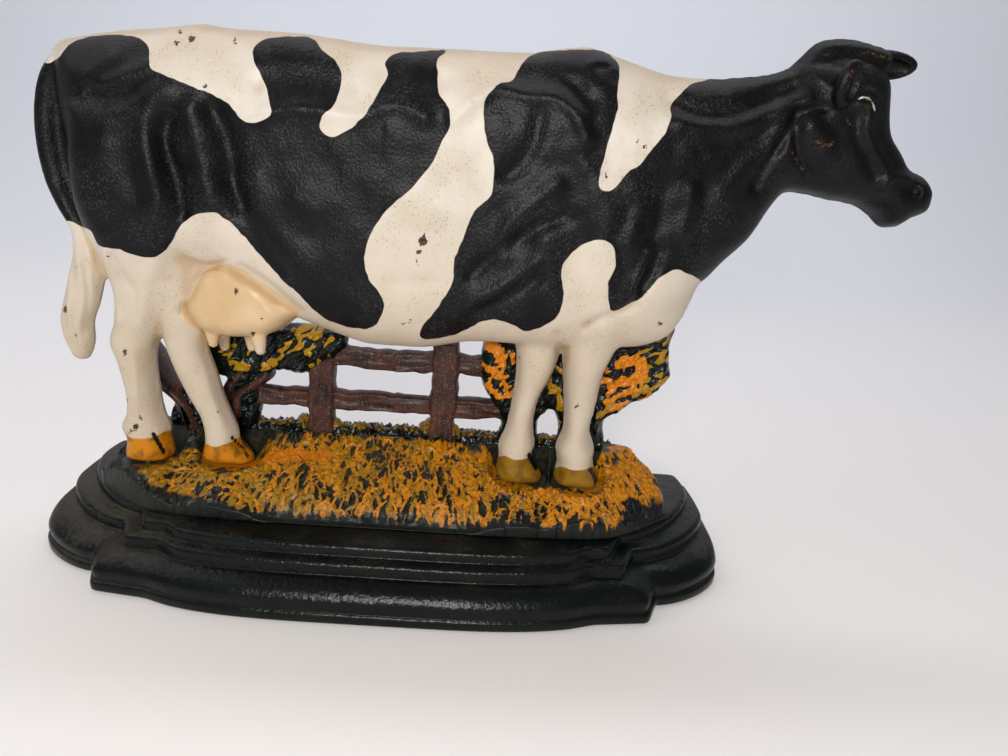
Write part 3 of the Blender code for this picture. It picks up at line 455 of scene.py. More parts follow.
# Relief of the near side, drawn where it shows in the photograph: radius in pixels, height in mm (below zero
# for a groove), and the stroke's points in pixels
COW_STROKES = (
    (9, 1.2, 87, 74, 98, 66, 112, 58), (9, 1.5, 104, 85, 125, 76, 148, 66),
    (10, -2.0, 92, 92, 110, 96, 128, 92), (16, 1.6, 112, 118, 140, 104, 162, 92),
    (20, 1.2, 102, 150, 108, 190, 122, 225), (15, 1.8, 150, 120, 152, 160, 160, 200),
    (10, -2.6, 166, 122, 163, 140, 166, 160, 174, 182, 181, 212),
    (14, 2.2, 190, 112, 197, 140, 203, 170, 208, 205),
    (11, -2.6, 212, 110, 222, 128, 228, 150, 234, 178, 240, 205),
    (9, -1.6, 226, 176, 240, 205, 258, 240, 280, 268), (20, 1.2, 248, 190, 275, 235, 310, 268),
    (17, -2.0, 262, 84, 290, 80, 325, 82, 350, 88),
    (8, 1.4, 268, 112, 300, 108, 330, 113, 360, 116, 395, 104, 425, 117),
    (14, -1.2, 375, 72, 410, 78, 440, 80),
    (8, 1.9, 455, 118, 475, 100, 500, 87, 526, 95, 554, 96, 575, 112, 588, 138),
    (11, -1.8, 515, 76, 540, 74, 570, 84, 590, 100), (9, -1.6, 540, 116, 534, 140, 524, 160, 508, 176),
    (10, 1.7, 556, 186, 530, 206, 510, 226, 501, 252), (8, -1.8, 566, 216, 530, 233, 499, 252, 472, 274),
    (7, 1.4, 536, 262, 505, 285, 474, 302, 456, 318), (6, -1.4, 540, 278, 510, 297, 480, 312),
    (13, 1.2, 545, 236, 548, 262, 545, 292), (12, 1.0, 580, 150, 590, 185, 588, 220),
    (9, -1.0, 630, 205, 624, 225, 616, 240), (6, 1.1, 592, 63, 604, 61, 616, 69),
    (3, -1.2, 597, 67, 608, 67), (10, -2.2, 671, 102, 705, 116, 751, 107, 797, 88),
    (8, 1.5, 682, 121, 732, 128, 770, 113, 808, 97), (9, -1.0, 700, 150, 740, 142, 768, 130),
    (9, 1.2, 720, 200, 740, 172, 770, 144, 790, 127), (6, -1.8, 756, 186, 768, 162, 784, 135, 798, 112),
    (8, 1.4, 693, 190, 690, 208, 684, 232), (7, -1.2, 706, 190, 704, 212, 697, 240),
    (9, -1.2, 664, 190, 660, 215, 652, 240), (4, 1.6, 651, 248, 640, 272, 628, 297),
    (6, -2.0, 660, 252, 652, 272, 642, 288), (7, -1.0, 620, 252, 624, 272, 618, 296),
    (5, -1.8, 586, 327, 602, 319, 618, 313, 634, 303), (16, 1.6, 640, 300, 660, 290, 684, 284),
    (5, -1.5, 558, 336, 560, 352, 558, 376),
    (4.5, -1.8, 827, 107, 810, 110, 800, 122, 797, 138, 800, 156, 807, 172),
    (4, -1.0, 800, 108, 790, 130, 777, 153), (11, 1.4, 812, 128, 822, 140, 824, 152),
    (5, 1.2, 870, 112, 868, 130, 876, 150, 886, 168), (6, -1.0, 858, 116, 858, 136, 866, 156, 874, 174),
    (4, 1.5, 883, 190, 886, 181, 895, 176, 908, 178), (3, -1.4, 902, 224, 896, 212, 890, 204, 882, 200),
    (5, 1.0, 878, 206, 886, 214, 890, 222), (4, -2.2, 911, 190, 916, 191),
    (4, 1.2, 854, 96, 866, 92, 878, 98), (4.5, 1.2, 860, 106, 868, 106),
    (2.5, -1.2, 62, 262, 64, 290, 66, 330), (2.5, -1.2, 72, 256, 73, 290, 73, 345),
    (2.5, -1.2, 84, 262, 88, 300, 84, 338), (2, -1.0, 93, 262, 97, 290, 95, 318),
    (4, 1.2, 106, 253, 112, 285, 118, 322), (4, -1.0, 111, 256, 124, 277, 134, 291, 134, 318),
    (10, 1.0, 158, 262, 146, 284, 142, 312), (3.5, -1.6, 222, 262, 206, 270, 198, 280, 190, 296, 181, 312),
    (3.5, -1.3, 240, 266, 266, 283, 300, 311), (3, 0.8, 78, 260, 84, 290, 80, 330),
    (3, 0.7, 90, 255, 93, 290, 90, 320), (3, 0.6, 72, 290, 68, 310, 74, 330),
    (4, 0.8, 135, 350, 137, 380, 136, 410), (3, 0.9, 200, 350, 212, 390, 224, 425),
    (6, 0.6, 520, 440, 522, 452), (9, -0.8, 395, 282, 420, 285, 440, 280),
    (22, 1.0, 300, 200, 330, 215, 350, 245), (22, 0.9, 410, 200, 425, 225, 415, 260),
)
CLEFTS = (
    (153, 434, 157, 441, 164, 453), (232, 438, 243, 449, 248, 457), (529, 455, 532, 461, 536, 469),
    (590, 470, 594, 476, 597, 486),
)
# The paint, read from the photograph as outlines in its pixels
BLACK_REAR = (
    30, 70, 52, 62, 64, 50, 72, 42, 90, 36, 114, 34, 137, 37, 148, 45, 150, 58, 153, 69, 164, 74, 189, 85,
    214, 95, 231, 106, 240, 118, 252, 123, 265, 119, 272, 112, 267, 96, 260, 77, 253, 58, 254, 47, 265, 39,
    290, 36, 303, 36, 314, 39, 322, 49, 333, 58, 341, 72, 340, 85, 334, 106, 324, 116, 320, 127, 326, 135,
    335, 136, 349, 129, 364, 116, 373, 102, 379, 89, 387, 75, 384, 62, 396, 53, 421, 51, 446, 50, 438, 60,
    438, 75, 439, 93, 450, 110, 450, 127, 442, 142, 433, 162, 414, 186, 393, 204, 379, 221, 368, 241,
    365, 259, 369, 279, 379, 291, 384, 305, 380, 320, 371, 328, 359, 329, 339, 325, 318, 314, 298, 294,
    279, 278, 260, 257, 237, 229, 223, 217, 214, 212, 196, 215, 181, 225, 173, 240, 166, 250, 156, 257,
    141, 257, 120, 250, 99, 246, 92, 232, 84, 228, 70, 222, 40, 215, 20, 140,
)
BLACK_FRONT = (
    535, 53, 523, 62, 512, 80, 499, 83, 487, 96, 483, 110, 486, 138, 493, 159, 493, 184, 489, 197, 476, 209,
    471, 216, 463, 237, 455, 257, 452, 282, 441, 302, 429, 318, 420, 330, 423, 339, 443, 338, 462, 332,
    479, 323, 493, 320, 509, 323, 527, 331, 549, 324, 560, 311, 564, 295, 562, 275, 565, 262, 578, 248,
    599, 240, 612, 246, 615, 259, 614, 270, 608, 282, 608, 300, 612, 312, 626, 307, 642, 296, 658, 279,
    674, 270, 685, 273, 699, 279, 740, 300, 1000, 300, 1000, 0, 780, 10, 740, 66, 712, 78, 693, 83, 680, 94,
    671, 106, 670, 119, 664, 134, 651, 150, 640, 165, 628, 171, 619, 182, 611, 190, 601, 189, 599, 180,
    605, 155, 611, 134, 618, 108, 618, 92, 619, 68, 612, 56, 598, 50, 581, 49, 560, 50,
)
UDDER_PAINT = (
    202, 273, 191, 292, 181, 309, 188, 325, 198, 332, 201, 344, 207, 350, 215, 346, 218, 341, 221, 350,
    229, 353, 233, 340, 242, 342, 246, 354, 252, 345, 255, 356, 262, 360, 266, 340, 274, 333, 300, 313,
    284, 298, 265, 285, 240, 268, 221, 264,
)
HOOF_PAINT = (
    (120, 432, 132, 437, 150, 438, 162, 433, 172, 430, 180, 445, 175, 470, 120, 470),
    (203, 444, 215, 447, 231, 441, 243, 434, 252, 433, 268, 450, 266, 475, 200, 475),
    (498, 456, 512, 459, 528, 457, 543, 450, 552, 470, 545, 495, 490, 495),
    (552, 468, 575, 470, 590, 468, 600, 464, 608, 480, 605, 510, 550, 510),
)
NOSTRIL = (906, 190, 910, 185.5, 916, 185, 920, 188, 920, 193, 914, 196, 908, 195)
EYE_RIM = (857, 99, 862, 97.5, 868, 98.5, 872, 102.5, 874, 111)
IRIS = (863, 104, 867, 103, 870.5, 105, 871, 109.5, 867, 110.5, 863.5, 108.5)
RUBBED_GOLD = (
    (789, 146, 795, 155, 798, 163, 804, 171), (806, 122, 811, 127), (812, 140, 826, 145, 832, 142),
    (846, 118, 852, 126), (864, 52, 874, 54, 890, 60), (839, 71, 841, 80, 838, 92), (842, 74, 841, 84),
)
# x, y and size of each chip in the enamel, in the photograph's pixels
CHIPS = (
    (180, 32, 2.4), (192, 38, 4.0), (176, 44, 3.2), (235, 40, 2.6), (195, 82, 1.6), (206, 87, 2.6),
    (637, 142, 2.0), (645, 146, 2.8), (606, 176, 2.4), (423, 240, 5.2), (419, 252, 3.4), (417, 262, 2.2),
    (441, 236, 1.6), (447, 238, 1.4), (436, 223, 1.2), (410, 320, 1.8), (403, 324, 1.6), (65, 310, 3.2),
    (77, 268, 1.9), (76, 336, 2.2), (125, 352, 3.2), (123, 384, 2.0), (127, 400, 1.4), (141, 418, 2.4),
    (136, 428, 3.4), (131, 431, 2.0), (236, 291, 3.6), (262, 319, 1.8), (253, 334, 2.6), (261, 352, 2.2),
    (218, 412, 2.2), (520, 358, 2.0), (578, 406, 2.4), (538, 372, 1.6), (634, 296, 1.8), (660, 323, 3.0),
    (626, 318, 1.4), (590, 322, 1.4), (562, 362, 1.6), (558, 375, 1.4), (109, 256, 1.6), (521, 401, 1.4),
)
SPECKLE_SPOTS = (  # x, y and radius of each place with fine specks
    (405, 262, 18), (112, 300, 14), (648, 305, 16), (560, 365, 12), (620, 95, 26), (400, 322, 12),
)


def chip_map(px, py):
    """How far a point lies inside the nearest chip, in pixels, with ragged edges, and the fine speckles."""
    ragged = lumps(px, py, 1.7, 5) * 0.8 + lumps(px, py, 3.1, 6) * 0.5
    deepest = np.full(px.shape, -9.0)
    for x, y, size in CHIPS:
        stretch = 0.7 + 0.6 * ((x * 7 + y * 3) % 5) / 5
        far = np.hypot((px - x) / stretch, (py - y) * stretch)
        deepest = np.maximum(deepest, size * (0.85 + 0.6 * ragged) - far)
    for x, y, size in SPECKLE_SPOTS:
        fade = np.exp(-((px - x) ** 2 + (py - y) ** 2) / size**2)
        deepest = np.maximum(deepest, (lumps(px, py, 1.6, 9) - 1.06 + 0.42 * fade) * 3)
    return deepest


def cow_maps():
    """Thickness of both halves and every layer of paint, on the cow's grid."""
    u, v = COW_GRID.u, COW_GRID.v
    near, far = (cow_thickness(u, v, side) for side in (1, -1))
    px, py = seen(u, COW_PLANE - np.maximum(near, 0), v)
    rise = np.zeros(u.shape)
    for radius, height, *points in COW_STROKES:
        away = -within(px, py, points, closed=False, reach=radius * 2.6)
        rise += height * np.exp(-((away / radius) ** 2)) * (away < radius * 2.55)
    rise += 0.35 * lumps(u, v, 9, 1) + 0.22 * lumps(u, v, 4.3, 2)
    cleft = within_any(px, py, CLEFTS, closed=False, reach=12)
    rise -= 1.3 * np.exp(-((cleft / 1.6) ** 2))
    ragged = 0.7 * lumps(px, py, 6, 3) + 0.35 * lumps(px, py, 2.4, 4)
    halves = [blurred(thickness + rise * ramp(thickness, 0, 6), 0.7) for thickness in (near, far)]
    return halves, {
        "black": within_any(px, py, (BLACK_REAR, BLACK_FRONT), reach=8) + ragged,
        "udder": within(px, py, UDDER_PAINT, reach=8) + ragged,
        "hoof": within_any(px, py, HOOF_PAINT, steps=2, reach=8) + ragged,
        "cleft": np.maximum(cleft + 2.2, within(px, py, NOSTRIL, reach=6) + 0.5),
        "chip": chip_map(px, py),
        "eye": within(px, py, EYE_RIM, closed=False, reach=6) + 1.5,
        "iris": within(px, py, IRIS, reach=6),
        "gilt": within_any(px, py, RUBBED_GOLD, closed=False, reach=8) + 2,
        # painted shade: how far the near half lies below its blurred self, to darken the cream and peach in
        # its creases
        "hollow": (blurred(halves[0], 5) - halves[0]) * ramp(near, 0, 4),
    }


def make_cow():
    (near, far), paint = cow_maps()
    across = COW_DEPTH[None, :, None]
    field = upright_field(np.where(across < 0, near[:, None, :], far[:, None, :]), across)
    axes = COW_GRID.u[:, 0], COW_DEPTH, COW_GRID.v[0]
    for ends_and_radii in RODS:
        join(field, *rod(axes, *ends_and_radii), 5.0)
    carve(field, *rod(axes, *NOSTRIL_HOLE), 1.5)
    for middle, along, facing, sizes, hollow_sizes, out in EARS:
        join(field, *leaf(axes, middle, along, facing, sizes), 6.0)
        mouth = np.array(middle) + out * np.array(facing) / np.linalg.norm(facing)
        carve(field, *leaf(axes, mouth, along, facing, hollow_sizes), 1.0)
    for name in ("rear", "middle", "front"):
        low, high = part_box(f"body_screw_{name}")
        x, _, z = np.array(low + high) / 2 / MM - ORIGIN
        seat = (x, SCREW_SEAT_DEPTH, z), (x, 40, z), SCREW_SEAT_RADIUS, SCREW_SEAT_RADIUS
        spot, solid = rod(axes, *seat)
        field[spot] = np.minimum(field[spot], -solid)
    field = np.minimum(field, (COW_GRID.v[:, None, :] - SOLE) * 12)
    corner = (COW_GRID.low[0], COW_PLANE + COW_DEPTH[0], COW_GRID.low[1])
    whole = skin("cow", field, corner, COW_GRID.step)
    for name, side in (("near", -1), ("far", 1)):
        bm = bmesh.new()
        bm.from_mesh(whole)
        cut = bmesh.ops.bisect_plane(
            bm, geom=bm.verts[:] + bm.edges[:] + bm.faces[:], clear_outer=True,
            plane_co=(0, COW_PLANE + side * PARTING_GAP, 0), plane_no=(0, -side, 0),
        )
        edges = [item for item in cut["geom_cut"] if isinstance(item, bmesh.types.BMEdge)]
        bmesh.ops.triangle_fill(bm, use_beauty=False, edges=edges, normal=(0, -side, 0))
        half = new_mesh(f"cow_{name}_casting", bm)
        COW_GRID.paint(half, paint, 2)
        piece(f"cow_{name}_casting", half, cow_enamel, f"cow_{name}_half")
    bpy.data.meshes.remove(whole)


# The bank of grass

BANK_HALF_LENGTH, RIDGE_HALF_LENGTH = 122, 104
BANK_FRONT, RIDGE_FRONT = 17.5, 51
BANK_BACK, RIDGE_BACK = 76, 67
SQUARENESS = 3.64  # power of its rounded oblong plan
SKIRT = 0.1  # how far its smooth margin runs out past the foot, as a share of the way from foot to ridge
BANK_PROFILE = (  # height, climb inwards
    (0, -SKIRT), (0.04, -0.03), (0.13, 0.03), (0.26, 0.1), (0.4, 0.2), (0.55, 0.37), (0.73, 0.66), (1, 1),
)
CORNER_CUT, CORNER_SLOPE, CORNER_RUN = (90, 17), 0.74, 26  # the front corners follow the plinth's lobes
BLADES, BLADES_BY_HOOF = 3900, 34
LEAN = (-115, -75, -40, 30, 75, 115), (0.55, 0.8, 1.35, 1.6, 1.9, 2.3)  # x, and the blades' angle there
HOOVES = [  # x and y of each one's middle, half its length and half its width
    ((left + right) / 2, COW_PLANE - forward, (right - left) / 2, thick)
    for (*_, (_, left, right, thick)), forward in (LEGS[0], LEGS[2], LEGS[3], LEGS[1])
]
HOOF_SEAT = SOLE - 0.3 - BANK_FOOT  # its height over the bank's foot
ORANGE_GRASS = (
    137, 470, 150, 462, 175, 455, 205, 450, 250, 444, 300, 438, 340, 440, 400, 436, 440, 436, 470, 446,
    500, 462, 520, 480, 550, 488, 590, 480, 600, 455, 608, 436, 625, 434, 640, 450, 655, 480, 663, 497,
    650, 505, 625, 508, 610, 526, 580, 531, 540, 535, 505, 534, 470, 530, 440, 532, 400, 529, 360, 526,
    330, 524, 300, 520, 260, 515, 230, 511, 200, 505, 170, 501, 155, 497, 140, 485,
)
ORANGE_WASH = (
    (210, 453, 230, 450, 252, 453, 253, 463, 232, 467, 212, 464),
    (247, 456, 285, 451, 327, 453, 326, 459, 285, 463, 248, 463),
)
BANK_GRID = Map((-129, 10), (129, 81), 0.45)


def bank_height(x, y):
    """Height of the plain bank over its foot, from the same contours as the solid."""
    climbs = np.linspace(-SKIRT - 0.05, 1, 55)
    inside = []
    for climb in climbs:
        half_length = BANK_HALF_LENGTH + (RIDGE_HALF_LENGTH - BANK_HALF_LENGTH) * climb
        front = BANK_FRONT + (RIDGE_FRONT - BANK_FRONT) * climb
        back = BANK_BACK + (RIDGE_BACK - BANK_BACK) * climb
        across = (y - (front + back) / 2) / ((back - front) / 2)
        inside.append(1 - np.abs(x / half_length) ** SQUARENESS - np.abs(across) ** SQUARENESS)
    inside = np.array(inside)
    reached = (inside > 0).sum(0)
    low = np.clip(reached - 1, 0, len(climbs) - 2)
    a, b = (np.take_along_axis(inside, low[None] + more, 0)[0] for more in (0, 1))
    share = np.clip(a / np.maximum(a - b, 1e-6), 0, 1)
    climb = np.where(reached == 0, climbs[0], climbs[low] + share * (climbs[1] - climbs[0]))
    climb = np.where(reached == len(climbs), 1, climb)
    cut = y - CORNER_CUT[1] - CORNER_SLOPE * (np.abs(x) - CORNER_CUT[0])
    cut = cut / math.hypot(1, CORNER_SLOPE) / CORNER_RUN
    climb = -smooth_max(-climb, -cut, 0.15)
    up, inward = zip(*BANK_PROFILE)
    risen = np.interp(climb, inward, up) * (RIDGE - BANK_FOOT)
    return np.where(climb <= -SKIRT, (climb + SKIRT) * 30, risen)


def add_blade(height, tip, gold, x, y, angle, bend, length, width, tall, colour):
    """One cast blade of grass: a tapering curved ridge that stands proudest towards its tip."""
    steps = 7
    for t in (np.arange(steps) + 0.5) / steps:
        turned = angle + bend * t
        x += math.cos(turned) * length / steps
        y += math.sin(turned) * length / steps
        radius = width * (1.05 - 0.8 * t * t)
        spot = BANK_GRID.spot(x, y, int(2.4 * width / BANK_GRID.step) + 1, 2)
        du, dv = BANK_GRID.u[spot] - x, BANK_GRID.v[spot] - y
        crest = np.exp(-((du * du + dv * dv) / radius**2) ** 1.4)
        bump = tall * (0.5 + 0.5 * t) * crest
        stands = bump > height[spot]
        height[spot] = np.where(stands, bump, height[spot])
        tip[spot] = np.where(stands, crest * (0.75 + 0.25 * t), tip[spot])
        gold[spot] = np.where(stands & (bump > 0.2), colour, gold[spot])


def bank_maps():
    """The bank's height over its foot, with its blades and hoof seats, and its layers of paint."""
    x, y = BANK_GRID.u, BANK_GRID.v
    base = bank_height(x, y)
    rng = np.random.default_rng(21)
    blades, tip, gold = np.zeros((3, *x.shape))
    from_hooves = [np.hypot((x - hx) / (long + 1), (y - hy) / (wide + 0.8)) for hx, hy, long, wide in HOOVES]
    off_seat = np.min(from_hooves, 0) - 1.1
    mound = smooth_max(base, HOOF_SEAT - 0.3 - 7 * np.maximum(off_seat, 0), 2)
    base = np.where(base > 0, mound, base)
    for i in range(BLADES):
        bx, by = rng.uniform(-121, 121), rng.uniform(16, 76)
        angle = np.interp(bx, *LEAN) + rng.normal(0, 0.4)
        if by > 62:
            angle = -angle
        long = rng.uniform(2.5, 6) if bx < -55 else rng.uniform(3.5, 8)
        wide = rng.uniform(0.5, 0.95) if bx < 20 else rng.uniform(0.6, 1.3)
        tall = rng.uniform(0.9, 2)
        if by > 45 or bx > 92:
            tall *= 1.7
        add_blade(blades, tip, gold, bx, by, angle, rng.normal(0, 0.9), long, wide, tall, rng.uniform(0, 1))
    for hx, hy, long, wide in HOOVES:
        for i in range(BLADES_BY_HOOF):
            turn = 2 * math.pi * (i + rng.uniform(0, 0.8)) / BLADES_BY_HOOF
            bx, by = hx + math.cos(turn) * (long + 5), hy + math.sin(turn) * (wide + 5)
            inward = turn + math.pi + rng.normal(0, 0.7)
            tall = rng.uniform(2, 4.5) if hx > 0 else rng.uniform(1.2, 2.6)
            bend = rng.normal(0, 0.8)
            add_blade(blades, tip, gold, bx, by, inward, bend, 4, rng.uniform(0.7, 1.2), tall, 0.4)
    margin = ramp(base, 0.4, 3)
    total = base + blades * margin + 0.3 * lumps(x, y, 5, 31) * margin
    under_fence = ramp(y, 52.5, 53) * (1 - ramp(y, 63, 65)) * ramp(base, 19, 20)
    total = np.where(under_fence > 0.5, np.minimum(total, RIDGE - BANK_FOOT + 0.2), total)
    total = np.where(off_seat < 0, HOOF_SEAT, np.minimum(total, HOOF_SEAT + off_seat * 14))
    px, py = seen(x, y, BANK_FOOT + np.clip(base, 0, 99))
    behind = 1.2 * np.maximum(y - 60, 0)
    patches = 7 * lumps(x, y, 7, 33) + 5 * lumps(x, y, 3, 35)
    return total, {
        "blade": tip * margin,
        "gold": gold,
        "orange": within(px, py, ORANGE_GRASS, reach=14) + patches - behind,
        "wash": within_any(px, py, ORANGE_WASH, reach=6) + lumps(x, y, 2, 34) - behind,
        "lift": base,
    }


def make_bank():
    height, paint = bank_maps()
    step = BANK_GRID.step
    levels = np.arange(-1.5, RIDGE - BANK_FOOT + 3, step) + 0.37
    steepness = np.hypot(*np.gradient(height, step))
    field = (height[:, :, None] - levels) / np.sqrt(1 + steepness**2)[:, :, None]
    field = np.minimum(field, levels)
    mesh = skin("grass_bank_casting", field, (*BANK_GRID.low, BANK_FOOT + levels[0]), step)
    BANK_GRID.paint(mesh, paint, 1)
    piece("grass_bank_casting", mesh, grass_enamel, "grass_bank")


# The fence and its hedges, one openwork casting

POSTS = ((-37.8, -26), (15.5, 27))
POST_TOP = 46
RAILS = ((-66, 50, 11.5, 20.3), (-40, 50, 31, 40.3))
RAIL_HALF, POST_HALF, HEDGE_HALF, BRANCH_HALF = 3.3, 4.5, 6.2, 8.8  # half thicknesses
LEFT_HEDGE = (
    -116, 52, -117, 60, -112, 65.5, -105, 63, -100, 56, -94, 50, -82, 50, -70, 48, -56, 48, -42, 49, -30, 48,
    -21, 47, -21.5, 40, -26, 35, -32, 32, -40, 27, -50, 28, -58, 22, -58, 12, -62, 0, -70, 0, -70, 14,
    -74, 24, -80, 18, -80, 0, -98, 0, -95, 12, -88, 26, -88, 36, -98, 42, -108, 45,
)
RIGHT_HEDGE = (
    37, 47, 44, 50, 60, 50, 80, 51, 96, 53, 106, 58, 114, 62, 117.5, 58, 116, 52, 116.5, 44, 118, 37.5,
    115, 32, 110, 27, 104, 24, 98, 19, 92, 14, 92, 0, 74, 0, 72, 12, 68, 18, 63, 12, 62, 0, 46, 0, 47, 12,
    41, 22, 37, 30,
)
BRANCHES = (  # x and height over the ridge along each, radius at both ends
    (((-75, 4), (-72, 17), (-65, 28)), 3.6, 2.8), (((-69, 8), (-66, 17), (-55, 26)), 3.8, 2.8),
    (((-99, 20), (-91, 12), (-87, 0)), 3.2, 3.6), (((-105, 34), (-100, 24), (-97, 19)), 2.0, 2.6),
)
LEAVES = 2300
# Dabs of paint on the leaves, as strokes in the photograph's pixels: radius, then the points
MUSTARD_DABS = (
    (4, 270, 362, 290, 352, 302, 345), (3.5, 282, 350, 300, 338, 318, 334),
    (3.5, 292, 334, 312, 326, 326, 326), (3.5, 306, 352, 322, 342, 334, 338), (3, 312, 366, 328, 357),
    (4, 224, 352, 236, 348), (4.5, 230, 362, 248, 368), (3.5, 264, 366, 280, 362), (3, 276, 328, 292, 322),
    (2.5, 250, 352, 264, 346), (4, 106, 282, 116, 288), (4.5, 104, 312, 116, 316), (4, 168, 378, 180, 384),
    (4, 644, 368, 656, 362, 668, 350), (3, 646, 380, 660, 374), (3.5, 650, 392, 666, 378),
    (3.5, 636, 396, 646, 388), (4, 660, 340, 674, 330), (3, 640, 352, 654, 346),
    (5, 548, 384, 558, 394, 560, 408), (4, 546, 416, 556, 426), (4, 600, 414, 612, 404),
    (3, 552, 362, 562, 372), (2.5, 652, 356, 662, 352), (2.5, 662, 362, 670, 358),
)
ORANGE_DABS = (
    (6, 486, 344, 498, 350, 502, 362), (5.5, 494, 370, 504, 380, 508, 392), (4, 484, 366, 492, 374),
    (4, 488, 386, 500, 396), (3, 510, 352, 514, 362), (7, 618, 364, 634, 360, 642, 368, 634, 380, 620, 382),
    (5, 602, 378, 612, 386, 608, 396), (5, 606, 402, 622, 394, 634, 386), (3.5, 600, 362, 606, 372),
    (4, 612, 410, 628, 402), (3.5, 168, 402, 178, 406), (3, 106, 297, 114, 300), (3.5, 640, 404, 652, 396),
)
FENCE_GRID = Map((-124, FENCE_FOOT - 1), (124, FENCE_FOOT + 70), 0.6)


def bar(u, v, x0, x1, z0, z1, thick):
    """A cast timber with square faces and edges rounded by a good millimetre."""
    return domed(np.minimum(np.minimum(u - x0, x1 - u), np.minimum(v - z0, z1 - v)), thick, 1.3)


def add_ridge(total, line, radius, tip_radius, thick):
    """A rounded bar along a line in the fence's plane, thickest on the line."""
    ends = np.array([(x, z + FENCE_FOOT) for x, z in line])
    near = -within(FENCE_GRID.u, FENCE_GRID.v, ends, closed=False, reach=radius * 2.2)
    share = np.clip((FENCE_GRID.v - ends[0, 1]) / (ends[-1, 1] - ends[0, 1] + 1e-6), 0, 1)
    wide = radius + (tip_radius - radius) * share
    return np.maximum(total, domed(wide - near, thick * wide / radius, wide))


def fence_maps():
    """The fence's half thickness and its layers of paint."""
    u, v = FENCE_GRID.u, FENCE_GRID.v - FENCE_FOOT
    wander = 0.9 * lumps(u, v, 11, 45) + 0.5 * lumps(u, v, 4, 46)
    grain = 0.5 * lumps(u, v * 5, 10, 41) + 0.35 * lumps(u, v * 7, 5, 42)
    upright = 0.5 * lumps(u * 5, v, 10, 43) + 0.35 * lumps(u * 7, v, 5, 44)
    wood = np.full(u.shape, -9.0)
    for x0, x1, z0, z1 in RAILS:
        timber = bar(u, v + wander, x0, x1, z0, z1, RAIL_HALF)
        wood = np.maximum(wood, timber + grain * ramp(timber, 0, 2))
    for x0, x1 in POSTS:
        timber = bar(u + wander, v, x0, x1, -5, POST_TOP, POST_HALF)
        wood = np.maximum(wood, timber + upright * ramp(timber, 0, 2))
    for branch in BRANCHES:
        wood = add_ridge(wood, *branch, BRANCH_HALF)
    hedge = domed(within_any(u, v, (LEFT_HEDGE, RIGHT_HEDGE), steps=4), HEDGE_HALF, 5)
    rng = np.random.default_rng(47)
    leaves = np.zeros(u.shape)
    for i in range(LEAVES):
        x, z = rng.uniform(-117, 118), rng.uniform(2, 64)
        angle, half_long, half_wide = rng.uniform(0.1, 1.5), rng.uniform(1.6, 4), rng.uniform(0.6, 1.1)
        spot = FENCE_GRID.spot(x, z + FENCE_FOOT, 9, 1)
        du, dv = u[spot] - x, v[spot] - z
        along = (du * math.cos(angle) + dv * math.sin(angle)) / half_long
        across = (dv * math.cos(angle) - du * math.sin(angle) + 0.12 * du * du / half_long) / half_wide
        bump = rng.uniform(0.7, 2.1) * np.exp(-((along**2 + across**2) ** 1.3))
        leaves[spot] = np.maximum(leaves[spot], bump)
    px, py = seen(u, FENCE_PLANE - 6, FENCE_GRID.v)
    ragged = 1.6 * lumps(px, py, 3.2, 48) + 0.9 * lumps(px, py, 1.6, 49)
    mustard, orange = (
        ragged + np.max([radius + within(px, py, dab, closed=False, reach=12) for radius, *dab in dabs], 0)
        for dabs in (MUSTARD_DABS, ORANGE_DABS)
    )
    dab = np.maximum(mustard, orange)
    hedge = hedge + (leaves - 0.7 + 0.5 * ramp(dab, 0, 2)) * ramp(hedge, -4, 1)
    tufts = bar(u, v, -98, 92, -5, 1.5, 3.8)
    for x in np.arange(-97, 92, 1.25):
        by_post = max(math.exp(-(((x - post) / 9) ** 2)) for post in (-33, 20))
        tall = rng.uniform(2, 5) + by_post * rng.uniform(1, 6)
        curl = rng.uniform(-3.4, 3.4)
        line = ((x, -1), (x + curl * 0.1, tall * 0.6), (x + curl * 0.55, tall), (x + curl, tall * 0.85))
        tufts = add_ridge(tufts, line, rng.uniform(1.0, 1.7), 0.7, rng.uniform(3.4, 5) + by_post)
    green = np.maximum(hedge, tufts + 0.5 * leaves - 0.3)
    return blurred(smooth_max(wood, green, 0.5), 0.45), {
        "wood": wood - green,
        "dab": dab,
        "orange": orange - mustard,
        "leaf": leaves,
        "tuft": np.where(tufts > hedge, v, 0),
        "grain": grain + upright,
    }


def make_fence():
    thickness, paint = fence_maps()
    depth = np.arange(-9.4, 9.5, FENCE_GRID.step) + 0.17
    field = upright_field(thickness[:, None, :], depth[None, :, None])
    field = np.minimum(field, (FENCE_GRID.v[:, None, :] - FENCE_FOOT) * 8)
    corner = (FENCE_GRID.low[0], FENCE_PLANE + depth[0], FENCE_GRID.low[1])
    mesh = skin("fence_and_hedge_casting", field, corner, FENCE_GRID.step)
    FENCE_GRID.paint(mesh, paint, 2)
    piece("fence_and_hedge_casting", mesh, hedge_enamel, "fence_and_hedge")


# The stepped plinth

CORNER_HALF_LENGTH, BLOCK_INNER_END, BOW_END = 110, 88, 78
BOW_DEPTH, BOW_RISE, BLOCK_TURN = 11.5, 5, 3
NOTCH_OUT, NOTCH_BACK = 5, 12
LOBE_HALF_LENGTH, LOBE_BACK = 145, 34
LIP_HEIGHT, OVOLO_HEIGHT, OVOLO_DEPTH = 3.4, 10.6, 9
RIM, BULGE = 1.1, 1.3  # the thin rim under the lip, and how far the ovolo swells out over the plan
MIDDLE_STEP = 5.5
LEDGE_ENDS, LEDGE_FRONT, LEDGE_FALL = 5.8, 4.6, 0.4
NOSE, COVE = 2.0, 0.7
WALL, LANDING_RADIUS = 5, 9
PLAN_SPACING = 1.55  # between the outline's points
PAD_PLACES = {"front": (-5, -0.5), "left": (-134, 46), "right": (134, 46), "back": (0, 70)}


